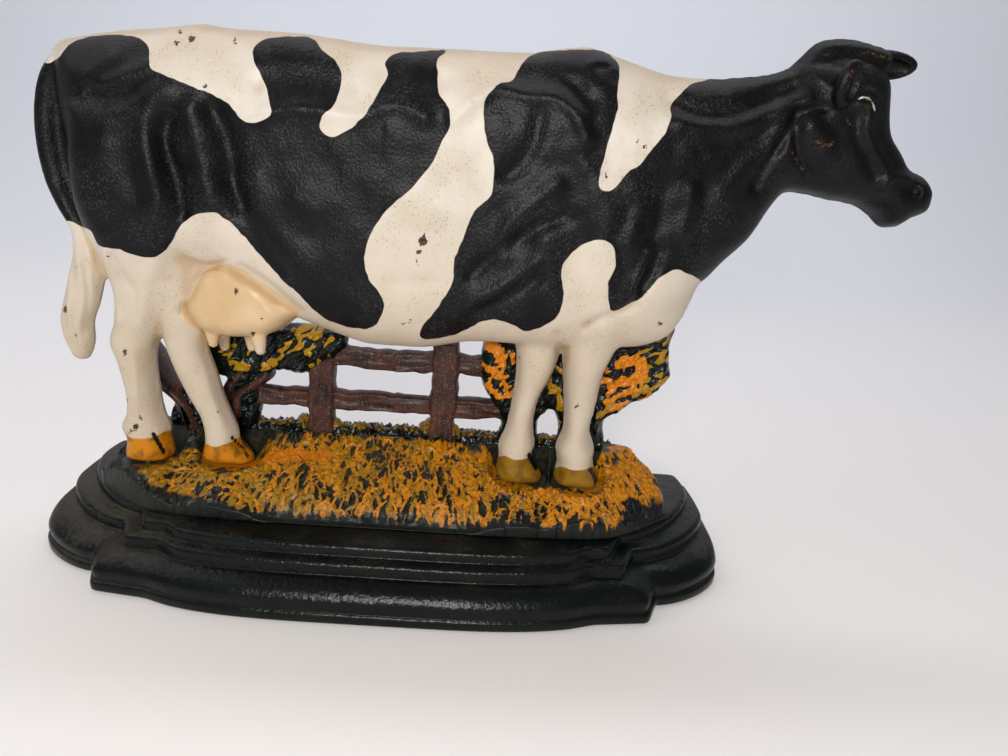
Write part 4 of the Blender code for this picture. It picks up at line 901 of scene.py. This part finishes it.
def plinth_outline(inset_x, inset_y, z, soft):
    """The plinth's plan at one level: a bowed front, two end blocks, a notch and a lobe at each end.

    Each block stands back from the bow by a short bend. Its corners are softened over about so many mm.
    """
    corner = (CORNER_HALF_LENGTH - inset_x, inset_y - 0.1 * inset_x)
    inner = BLOCK_INNER_END - inset_x * 0.25
    block_front = min(inset_y - BLOCK_TURN + 0.15 * inset_x, corner[1] - 0.6)
    notch = (corner[0] + NOTCH_OUT, corner[1] + NOTCH_BACK)
    widest = (LOBE_HALF_LENGTH - 0.033 * inset_x**2, LOBE_BACK + inset_x * 2)
    right = [(BOW_END * share, inset_y - BOW_DEPTH + BOW_RISE * share**4) for share in np.linspace(0, 1, 52)]
    for (x0, y0), (x1, y1), count in (
        (right[-1], (inner, block_front), 7), ((inner, block_front), corner, 14), (corner, notch, 9),
    ):
        right += [(x0 + (x1 - x0) * share, y0 + (y1 - y0) * share) for share in np.linspace(0, 1, count)[1:]]
    for angle in np.linspace(0, math.pi / 2, 30)[1:]:
        right.append((
            notch[0] + (widest[0] - notch[0]) * math.sin(angle) ** 1.3,
            notch[1] + (widest[1] - notch[1]) * (1 - math.cos(angle) ** 1.3),
        ))
    side = np.linspace(0, 1, 30)[1:]
    right += [(widest[0] - 2 * share**2, widest[1] + (PLINTH_DEPTH - widest[1]) * share) for share in side]
    right += [((widest[0] - 2) * share, PLINTH_DEPTH) for share in np.linspace(1, 0, 90)[1:]]
    ring = np.array(right + [(-x, y) for x, y in right[-2:0:-1]])
    reach = int(3 * soft / PLAN_SPACING) + 1
    weights = np.exp(-0.5 * (np.arange(-reach, reach + 1) * PLAN_SPACING / soft) ** 2)
    ring = sum(w * np.roll(ring, i - reach, 0) for i, w in enumerate(weights / weights.sum()))
    return [(x, y, z) for x, y in ring]


def hollow_outline(inset, z):
    right = (
        (0, inset - BOW_DEPTH), (BLOCK_INNER_END * 0.6, inset - BOW_DEPTH * 0.85),
        (CORNER_HALF_LENGTH - inset, inset), (CORNER_HALF_LENGTH + NOTCH_OUT - inset, inset + NOTCH_BACK),
        (LOBE_HALF_LENGTH - inset, LOBE_BACK + inset / 2), (LOBE_HALF_LENGTH - inset, PLINTH_DEPTH - WALL),
    )
    left = tuple((-x, y) for x, y in reversed(right[1:]))
    return [(x, y, z) for x, y in right + left]


def circle(x, y, radii, z):
    """A ring of points, one for each of the radii."""
    turns = [2 * math.pi * i / len(radii) for i in range(len(radii))]
    return [(x + radius * math.cos(a), y + radius * math.sin(a), z) for radius, a in zip(radii, turns)]


def cut_away(mesh, *cutters):
    """The mesh with the other meshes taken out of it."""
    held = place("held", mesh)
    for cutter in cutters:
        tool = place("cutter", cutter)
        cut = held.modifiers.new("cut", "BOOLEAN")
        cut.operation = "DIFFERENCE"
        cut.object = tool
        cut.solver = "EXACT"
        shaped = bpy.data.meshes.new_from_object(held.evaluated_get(bpy.context.evaluated_depsgraph_get()))
        held.modifiers.clear()
        held.data = shaped
        bpy.data.objects.remove(tool)
    bpy.data.objects.remove(held)
    return shaped


def make_plinth():
    foot = PLINTH_FOOT
    lip_top = foot + LIP_HEIGHT
    ovolo_top = lip_top + OVOLO_HEIGHT
    low = foot - RIM
    levels = [(*level, 1.4) for level in (  # inset at the ends, inset at the front, height; then softening
        (2.8, 2.0, foot), (2.5, 1.7, low + 0.2), (0.9, -0.4, low), (0.3, -1.0, low + 0.3),
        (0, -BULGE, low + 0.9), (0, -BULGE, lip_top - 1.2), (0.3, 0.3 - BULGE, lip_top - 0.4),
        (1.0, 0.9 - BULGE, lip_top),
    )]
    for angle in np.linspace(0, math.pi / 2, 15):
        drawn_in = max(OVOLO_DEPTH * (1 - math.cos(angle)), 1.1 - 1.1 * angle)
        height = lip_top + 0.15 + (OVOLO_HEIGHT - 0.15) * math.sin(angle)
        levels.append((drawn_in * 1.15, drawn_in * 0.92 - BULGE * math.cos(angle), height, 1.5))
    in_x, in_y, tread = levels[-1][:3]
    for top, soft in ((ovolo_top + MIDDLE_STEP, 1.6), (PLINTH_TOP, 2.2)):
        for angle in np.linspace(0.2, math.pi / 2, 5):
            back = COVE * (math.sin(angle) - 1)
            levels.append((in_x + back, in_y + back, tread + COVE * (1 - math.cos(angle)), soft))
        for angle in np.linspace(0, math.pi / 2, 7):
            back = NOSE * (1 - math.cos(angle)) + 0.15
            levels.append((in_x + back, in_y + back, top - NOSE + NOSE * math.sin(angle), soft))
        in_x, in_y, tread = in_x + LEDGE_ENDS, in_y + LEDGE_FRONT, top + LEDGE_FALL
    outer = loft("plinth_casting", [plinth_outline(*level) for level in levels])
    rising = WALL + OVOLO_DEPTH
    core = loft("hollow", [hollow_outline(inset, z) for inset, z in (
        (WALL, foot - 5), (WALL, lip_top), (rising, ovolo_top - WALL / 2),
        (rising + LEDGE_ENDS, PLINTH_TOP - WALL),
    )])
    landings = [
        loft("landing", [circle(x, y, [LANDING_RADIUS] * 32, z) for z in (foot - 8, PLINTH_TOP + 10)])
        for x, y in PAD_PLACES.values()
    ]
    mesh = cut_away(outer, cut_away(core, *landings))
    mesh.name = "plinth_casting"
    piece("plinth_casting", mesh, plinth_enamel, "plinth", sharp=60)


def make_pads():
    """Felt discs with soft edges, cut a little raggedly."""
    rng = np.random.default_rng(3)
    for name, (x, y) in PAD_PLACES.items():
        low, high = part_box(f"felt_pad_{name}")
        radius = (high.x - low.x) / 2 / MM - 0.1
        thick = high.z / MM
        rings = [
            circle(x, y, [radius - inset + 0.1 * rng.uniform(-1, 0) for i in range(48)], z)
            for inset, z in (
                (2.5, 0.05), (0.5, 0), (0.12, 0.25), (0, thick / 2), (0.12, thick - 0.25),
                (0.5, thick - 0.03), (2.5, thick), (5, thick),
            )
        ]
        disc = loft(f"felt_disc_{name}", rings)
        pad = piece(f"felt_disc_{name}", disc, cream_felt, f"felt_pad_{name}", sharp=50)


# Finishes. Every grain is given in millimetres of the real surface, and a colour is an sRGB hex value. Each
# finish's function adds its nodes and gives what goes into the shader.

COLOUR = {"out": 2, "data_type": "RGBA"}  # makes a mix one of colours
SPECULAR = 0.28  # what these old finishes mirror, unless one says less


def linear(hex_code):
    """An sRGB hex colour as Blender's linear one."""
    parts = [int(hex_code[i : i + 2], 16) / 255 for i in (1, 3, 5)]
    return (*[c / 12.92 if c <= 0.04045 else ((c + 0.055) / 1.055) ** 2.4 for c in parts], 1)


def fill(tree, target, inputs):
    """Sets or links a node's inputs. Each is given as a value, a hex colour or another node's output."""
    for key, value in inputs.items():
        if isinstance(value, bpy.types.NodeSocket):
            tree.links.new(value, target.inputs[key])
        else:
            target.inputs[key].default_value = linear(value) if isinstance(value, str) else value


def node(tree, kind, inputs={}, out=0, **settings):
    """Adds a node with its settings and links, and gives one of its outputs."""
    made = tree.nodes.new("ShaderNode" + kind)
    for key, value in settings.items():
        setattr(made, key, value)
    fill(tree, made, inputs)
    return made.outputs[out]


def new_material(name, finish):
    material = bpy.data.materials.new(name)
    material.use_nodes = True
    tree = material.node_tree
    inputs = {"Specular IOR Level": SPECULAR, **finish(partial(node, tree))}
    fill(tree, tree.nodes["Principled BSDF"], inputs)
    return material


def per_grain(size):
    """The noise scale that gives grains of about this many millimetres."""
    return 0.5 / (size * MM)


def oil_enamel(add):
    """Oil enamel brushed by hand over sand-cast iron.

    The sand's grain breaks the light into specks. The cream is darker where it looks up, partly with age
    and partly as painted shade; painted shade also darkens it in the creases and towards the bottom.
    The black is flat, with grey specks on the swells, partly paint worn by rubbing and partly painted
    sparkle, and dusty where it looks up.
    """
    at = add("TexCoord", out="Object")
    sand, speck, brush, cloud = (
        add("TexNoise", {"Vector": at, "Scale": per_grain(size), "Detail": detail})
        for size, detail in ((0.5, 2.0), (0.36, 1.5), (2.6, 3.0), (8, 3.0))
    )
    fold, gilt, chip = (
        add("Attribute", out="Fac", attribute_name=name) for name in ("hollow", "gilt", "chip")
    )
    painted, udder, hoof, cleft, iris, rim = (
        add("MapRange", {0: add("Attribute", out="Fac", attribute_name=name), 1: low, 2: high})
        for name, low, high in (
            ("black", 0, 0.7), ("udder", 0, 1), ("hoof", 0, 1), ("cleft", -0.5, 0.3), ("iris", 0, 1.5),
            ("eye", 0, 0.6),
        )
    )
    clouds = add("MapRange", {0: cloud, 1: 0.35, 2: 0.68})
    patches = add("MapRange", {0: cloud, 1: 0.42, 2: 0.62, 3: 0.1, 4: 1.0})
    upward = add("SeparateXYZ", {0: add("NewGeometry", out="Normal")}, out="Z")
    forward = add("SeparateXYZ", {0: at}, out="X")
    # Painted shade in the creases of the cream and the udder, from the near half's hollow map
    painted_fold_shade = add("MapRange", {0: fold, 1: 0.25, 2: 1.2, 4: 0.7}, interpolation_type="SMOOTHSTEP")

    cream = add("Mix", {0: clouds, 6: "#dfd6ca", 7: "#d0c4b2"}, **COLOUR)
    # Darker cream where the surface looks up: partly the enamel turned yellow, partly painted shade
    yellowing_and_painted_top_shade = add("MapRange", {0: upward, 1: 0.45, 2: 1.0, 4: 0.6})
    # Painted shade: the cream grows darker towards the bottom, below about 0.19 m
    height = add("SeparateXYZ", {0: at}, out="Z")
    height = add("Math", {0: cloud, 1: 0.06, 2: height}, operation="MULTIPLY_ADD")
    painted_low_shade = add("MapRange", {0: height, 1: 0.19, 2: 0.12, 4: 0.55})
    grime = add("MapRange", {0: speck, 1: 0.6, 2: 0.7, 4: 0.6})
    grime = add("Math", {0: grime, 1: patches}, operation="MULTIPLY")
    for share, tint in ((painted_fold_shade, "#b99d78"), (yellowing_and_painted_top_shade, "#c7a983"), (painted_low_shade, "#bfa98b"), (grime, "#93826b")):
        cream = add("Mix", {0: share, 6: cream, 7: tint}, **COLOUR)

    black = add("Mix", {0: clouds, 6: "#050506", 7: "#0c0c0e"}, **COLOUR)
    # Grey specks on the black: partly paint worn by rubbing, partly painted sparkle of the grain, fewer
    # towards the head
    rub_and_painted_sparkle = add("MapRange", {0: speck, 1: 0.53, 2: 0.7, 4: 0.5})
    fade_towards_head = add("MapRange", {0: forward, 1: 0.085, 2: 0.12, 3: 1.0, 4: 0.35})
    for share in (patches, fade_towards_head):
        rub_and_painted_sparkle = add("Math", {0: rub_and_painted_sparkle, 1: share}, operation="MULTIPLY")
    dust = add("Math", {0: brush, 1: 0.9, 2: upward}, operation="MULTIPLY_ADD")
    dust = add("MapRange", {0: dust, 1: 0.95, 2: 1.6, 4: 0.5}, interpolation_type="SMOOTHSTEP")
    for share, tint in ((rub_and_painted_sparkle, "#4c4b50"), (dust, "#3c342d")):
        black = add("Mix", {0: share, 6: black, 7: tint}, **COLOUR)

    peach = add("Mix", {0: clouds, 6: "#d8bd97", 7: "#caa97d"}, **COLOUR)
    # Painted shade in the udder's creases
    peach = add("Mix", {0: painted_fold_shade, 6: peach, 7: "#b98f5e"}, **COLOUR)
    front = add("MapRange", {0: forward, 1: -0.03, 2: 0.01})
    horn = add("Mix", {0: front, 6: "#c67c0c", 7: "#8f6a18"}, **COLOUR)
    stained = add("MapRange", {0: brush, 1: 0.48, 2: 0.62, 4: 0.75})
    horn = add("Mix", {0: stained, 6: horn, 7: "#6e4a18"}, **COLOUR)
    rust = add("MapRange", {0: speck, 1: 0.42, 2: 0.6})
    rust = add("Mix", {0: rust, 6: "#2a211d", 7: "#634536"}, **COLOUR)

    gilt = add("Math", {0: speck, 1: 7.0, 2: gilt}, operation="MULTIPLY_ADD")
    gilt = add("MapRange", {0: gilt, 1: 3.9, 2: 5.6, 4: 0.75})
    chip = add("Math", {0: speck, 1: 5.0, 2: chip}, operation="MULTIPLY_ADD")
    bare = add("MapRange", {0: chip, 1: 2.3, 2: 2.9})
    colour = cream
    for share, paint in (
        (painted, black), (gilt, "#7c5230"), (udder, peach), (hoof, horn), (cleft, "#17120f"),
        (iris, "#24270f"), (rim, "#dcd9cf"), (bare, rust),
    ):
        colour = add("Mix", {0: share, 6: colour, 7: paint}, **COLOUR)

    dull = add("MapRange", {0: painted, 3: 0.38, 4: 0.42})
    dull = add("Mix", {0: udder, 2: dull, 3: 0.26})
    dull = add("Math", {0: dust, 1: 0.25, 2: dull}, operation="MULTIPLY_ADD")
    depth = add("MapRange", {0: painted, 3: 0.08 * MM, 4: 0.24 * MM})
    pebbles = add("Bump", {"Height": sand, "Distance": depth})
    pits = add("Math", {0: bare, 1: -1.0}, operation="MULTIPLY")
    relief = add("Bump", {"Height": pits, "Distance": 0.25 * MM, "Normal": pebbles})
    return {"Base Color": colour, "Roughness": dull, "Specular IOR Level": 0.2, "Normal": relief}


def dry_brushed_enamel(add):
    """Green-black enamel on sand-cast iron, with orange and mustard dry-brushed over the tips of the blades.

    The paint on the tips is thick and half gloss. Dust greys the ground between them.
    """
    at = add("TexCoord", out="Object")
    sand, speck, cloud = (
        add("TexNoise", {"Vector": at, "Scale": per_grain(size), "Detail": detail})
        for size, detail in ((0.8, 2.5), (0.9, 3.0), (7, 3.0))
    )
    lift, gold, blade, field, wash = (
        add("Attribute", out="Fac", attribute_name=name)
        for name in ("lift", "gold", "blade", "orange", "wash")
    )
    dark = add("MapRange", {0: cloud, 1: 0.35, 2: 0.65})
    dark = add("Mix", {0: dark, 6: "#0a0f0d", 7: "#171b16"}, **COLOUR)
    upward = add("SeparateXYZ", {0: add("NewGeometry", out="Normal")}, out="Z")
    dust = add("Math", {0: lift, 1: 0.03, 2: upward}, operation="MULTIPLY_ADD")
    dust = add("Math", {0: speck, 1: dust}, operation="ADD")
    dust = add("MapRange", {0: dust, 1: 1.55, 2: 2.3, 4: 0.7})
    dark = add("Mix", {0: dust, 6: dark, 7: "#55503f"}, **COLOUR)
    forward = add("SeparateXYZ", {0: at}, out="X")
    bright = add("Math", {0: forward, 1: 2.2, 2: gold}, operation="MULTIPLY_ADD")
    bright = add("MapRange", {0: bright, 1: 0.15, 2: 0.55})
    gilded = add("Mix", {0: bright, 6: "#96700f", 7: "#cc810e"}, **COLOUR)
    worn = add("MapRange", {0: speck, 1: 0.46, 2: 0.64, 4: 0.7})
    gilded = add("Mix", {0: worn, 6: gilded, 7: "#684410"}, **COLOUR)
    aside = add("Math", {0: forward}, operation="ABSOLUTE")
    tips = blade
    for thing, weight in ((speck, 0.9), (cloud, 1.5), (aside, 2.0)):
        tips = add("Math", {0: thing, 1: weight, 2: tips}, operation="MULTIPLY_ADD")
    tips = add("MapRange", {0: tips, 1: 1.68, 2: 1.84})
    field = add("MapRange", {0: field, 1: -1.0, 2: 3.0})
    tips = add("Math", {0: tips, 1: field}, operation="MULTIPLY")
    colour = add("Mix", {0: tips, 6: dark, 7: gilded}, **COLOUR)
    wash = add("MapRange", {0: wash, 1: -0.5, 2: 0.7, 4: 0.92})
    colour = add("Mix", {0: wash, 6: colour, 7: "#c4700c"}, **COLOUR)
    relief = add("Bump", {"Height": sand, "Distance": 0.2 * MM})
    return {"Base Color": colour, "Roughness": 0.42, "Normal": relief}


def gloss_enamel(add):
    """Red-brown enamel on timbers cast with their grain, glossy green-black and thick dabs on the leaves."""
    at = add("TexCoord", out="Object")
    sand, speck, fleck, cloud = (
        add("TexNoise", {"Vector": at, "Scale": per_grain(size), "Detail": detail})
        for size, detail in ((0.8, 2.5), (0.9, 3.0), (0.45, 2.0), (6, 3.0))
    )
    grain, dab, leaves, orange, tuft, timber = (
        add("Attribute", out="Fac", attribute_name=name)
        for name in ("grain", "dab", "leaf", "orange", "tuft", "wood")
    )
    clouds = add("MapRange", {0: cloud, 1: 0.35, 2: 0.65})
    brown = add("Mix", {0: clouds, 6: "#37201a", 7: "#4f2f24"}, **COLOUR)
    groove = add("MapRange", {0: grain, 1: -0.1, 2: -0.6, 4: 0.8})
    chalk = add("MapRange", {0: fleck, 1: 0.57, 2: 0.7, 4: 0.45})
    for share, tint in ((groove, "#1b1210"), (chalk, "#8b7468")):
        brown = add("Mix", {0: share, 6: brown, 7: tint}, **COLOUR)
    green = add("Mix", {0: clouds, 6: "#040b0a", 7: "#0c1815"}, **COLOUR)
    for thing, weight in ((leaves, 3.4), (speck, 3.0)):
        dab = add("Math", {0: thing, 1: weight, 2: dab}, operation="MULTIPLY_ADD")
    dab = add("MapRange", {0: dab, 1: 5.2, 2: 5.9})
    orange = add("MapRange", {0: orange, 1: -1.5, 2: 1.5})
    gold = add("Mix", {0: orange, 6: "#a97e10", 7: "#d67f10"}, **COLOUR)
    streaks = add("MapRange", {0: speck, 1: 0.52, 2: 0.66, 4: 0.55})
    gold = add("Mix", {0: streaks, 6: gold, 7: "#7d5a12"}, **COLOUR)
    tuft = add("Math", {0: speck, 1: 9.0, 2: tuft}, operation="MULTIPLY_ADD")
    tuft = add("MapRange", {0: tuft, 1: 7.2, 2: 9.5, 4: 0.8})
    timber = add("Math", {0: speck, 1: 0.8, 2: timber}, operation="MULTIPLY_ADD")
    timber = add("MapRange", {0: timber, 1: 0.5, 2: 0.9})
    colour = green
    for share, paint in ((dab, gold), (tuft, "#8f6a1a"), (timber, brown)):
        colour = add("Mix", {0: share, 6: colour, 7: paint}, **COLOUR)
    dull = add("MapRange", {0: timber, 3: 0.26, 4: 0.42})
    relief = add("Bump", {"Height": sand, "Distance": 0.2 * MM})
    return {"Base Color": colour, "Roughness": dull, "Normal": relief}


def dark_enamel(add):
    """Thick green-black enamel over coarse sand-cast iron. It sparkles in specks and is dusty on ledges."""
    at = add("TexCoord", out="Object")
    sand, waves, speck = (
        add("TexNoise", {"Vector": at, "Scale": per_grain(size), "Detail": detail})
        for size, detail in ((0.85, 2.5), (9, 2.0), (0.7, 3.0))
    )
    dark = add("MapRange", {0: waves, 1: 0.35, 2: 0.7})
    dark = add("Mix", {0: dark, 6: "#060b0a", 7: "#0e1411"}, **COLOUR)
    upward = add("SeparateXYZ", {0: add("NewGeometry", out="Normal")}, out="Z")
    out_end = add("Math", {0: add("SeparateXYZ", {0: at}, out="X")}, operation="ABSOLUTE")
    out_end = add("MapRange", {0: out_end, 1: 0.08, 2: 0.135, 4: 0.5})
    dust = add("Math", {0: upward, 1: out_end}, operation="ADD")
    for thing in (speck, waves):
        dust = add("Math", {0: thing, 1: 0.9, 2: dust}, operation="MULTIPLY_ADD")
    dust = add("MapRange", {0: dust, 1: 1.95, 2: 2.75, 4: 0.75})
    colour = add("Mix", {0: dust, 6: dark, 7: "#544b3e"}, **COLOUR)
    dull = add("MapRange", {0: dust, 3: 0.29, 4: 0.7})
    swells = add("Bump", {"Height": waves, "Distance": 0.7 * MM})
    relief = add("Bump", {"Height": sand, "Distance": 0.26 * MM, "Normal": swells})
    return {"Base Color": colour, "Roughness": dull, "Specular IOR Level": 0.2, "Normal": relief}


def plated_steel(add):
    """Zinc-plated steel, turned and rolled: dull silver with faint clouding."""
    at = add("TexCoord", out="Object")
    cloud = add("TexNoise", {"Vector": at, "Scale": per_grain(1.2), "Detail": 2.0})
    clouds = add("MapRange", {0: cloud, 1: 0.3, 2: 0.7})
    colour = add("Mix", {0: clouds, 6: "#a3a5a5", 7: "#83847f"}, **COLOUR)
    relief = add("Bump", {"Height": cloud, "Distance": 0.03 * MM, "Strength": 0.6})
    return {"Base Color": colour, "Roughness": 0.38, "Metallic": 1.0, "Normal": relief}


def wool_felt(add):
    """Pressed wool felt, off-white: matted fibres, drawn half a millimetre thick so that they show."""
    at = add("TexCoord", out="Object")
    fibre = add("TexNoise", {"Vector": at, "Scale": per_grain(0.5), "Detail": 4.0, "Roughness": 0.75})
    fibres = add("MapRange", {0: fibre, 1: 0.3, 2: 0.7})
    colour = add("Mix", {0: fibres, 6: "#cfc6b0", 7: "#b5aa92"}, **COLOUR)
    relief = add("Bump", {"Height": fibre, "Distance": 0.25 * MM, "Strength": 0.8})
    return {"Base Color": colour, "Roughness": 0.95, "Sheen Weight": 0.4, "Normal": relief}


cow_enamel = new_material("oil_enamel_on_cast_iron", oil_enamel)
grass_enamel = new_material("dry_brushed_enamel_on_cast_iron", dry_brushed_enamel)
hedge_enamel = new_material("gloss_enamel_on_cast_iron", gloss_enamel)
plinth_enamel = new_material("dark_enamel_on_cast_iron", dark_enamel)
zinc_steel = new_material("zinc_plated_steel", plated_steel)
cream_felt = new_material("cream_wool_felt", wool_felt)

make_cow()
make_bank()
make_fence()
make_plinth()
make_pads()
for name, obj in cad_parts.items():
    if "screw" in name:
        obj.data.materials.clear()
        obj.data.materials.append(zinc_steel)


# Floor, light and camera

def painted_board(add):
    """A matt board, warm white on the floor and cooler up the back, which also shows a little by itself."""
    back = add("SeparateXYZ", {0: add("TexCoord", out="Object")}, out="Y")
    back = add("MapRange", {0: back, 1: 0.1, 2: 0.9})
    colour = add("Mix", {0: back, 6: "#eee9e5", 7: "#d2d4d8"}, **COLOUR)
    straight, mirrored = (add("LightPath", out=ray) for ray in ("Is Camera Ray", "Is Glossy Ray"))
    glow = add("Math", {0: straight, 1: mirrored}, operation="MAXIMUM")
    glow = add("Math", {0: glow, 1: 0.08}, operation="MULTIPLY")
    return {"Base Color": colour, "Roughness": 0.8, "Emission Color": colour, "Emission Strength": glow}


def make_sweep():
    """A pale floor that curves up into a backdrop."""
    line = [(-1.6, 0.0), (0.5, 0.0)]
    line += [(0.5 + 0.5 * math.sin(a), 0.5 - 0.5 * math.cos(a)) for a in np.linspace(0.1, math.pi / 2, 16)]
    line.append((1.0, 2.2))
    bm = bmesh.new()
    left, right = ([bm.verts.new((x, y, z)) for y, z in line] for x in (-2.6, 2.6))
    for i in range(len(line) - 1):
        bm.faces.new((left[i], left[i + 1], right[i + 1], right[i]))
    bmesh.ops.recalc_face_normals(bm, faces=bm.faces)
    mesh = new_mesh("sweep", bm)
    mesh.shade_smooth()
    mesh.materials.append(new_material("painted_board", painted_board))
    place("sweep", mesh)


def add_softbox(name, at, target, size, power, colour):
    light = bpy.data.lights.new(name, "AREA")
    light.shape = "RECTANGLE"
    light.size, light.size_y = size
    light.energy = power
    light.color = linear(colour)[:3]
    obj = place(name, light)
    obj.location = at
    obj.rotation_euler = (Vector(target) - Vector(at)).to_track_quat("-Z", "Y").to_euler()


def add_camera():
    data = bpy.data.cameras.new("camera")
    data.sensor_width = 36
    data.lens = FOCAL / PHOTO_WIDTH * data.sensor_width
    data.clip_start = 0.01
    camera = place("camera", data)
    turn = Matrix((RIGHT, -DOWN, -AHEAD)).transposed().to_4x4()
    camera.matrix_world = Matrix.Translation((EYE + ORIGIN) * MM) @ turn
    bpy.context.scene.camera = camera


make_sweep()
add_softbox("front", (-0.05, -0.62, 0.35), (0, 0, 0.1), (0.15, 0.15), 3.2, "#fffcf8")
add_softbox("window", (-0.9, -0.25, 1.0), (0, 0, 0.1), (0.9, 0.9), 3.2, "#f4f6ff")
add_softbox("backdrop", (0, 0.35, 1.1), (0, 1.0, 0.35), (1.6, 0.3), 9, "#f4f6ff")
world = bpy.data.worlds.new("studio")
world.use_nodes = True
fill(world.node_tree, world.node_tree.nodes["Background"], {0: "#e8ebef", 1: 0.24})
bpy.context.scene.world = world
bpy.context.scene.view_settings.view_transform = "Standard"
add_camera()
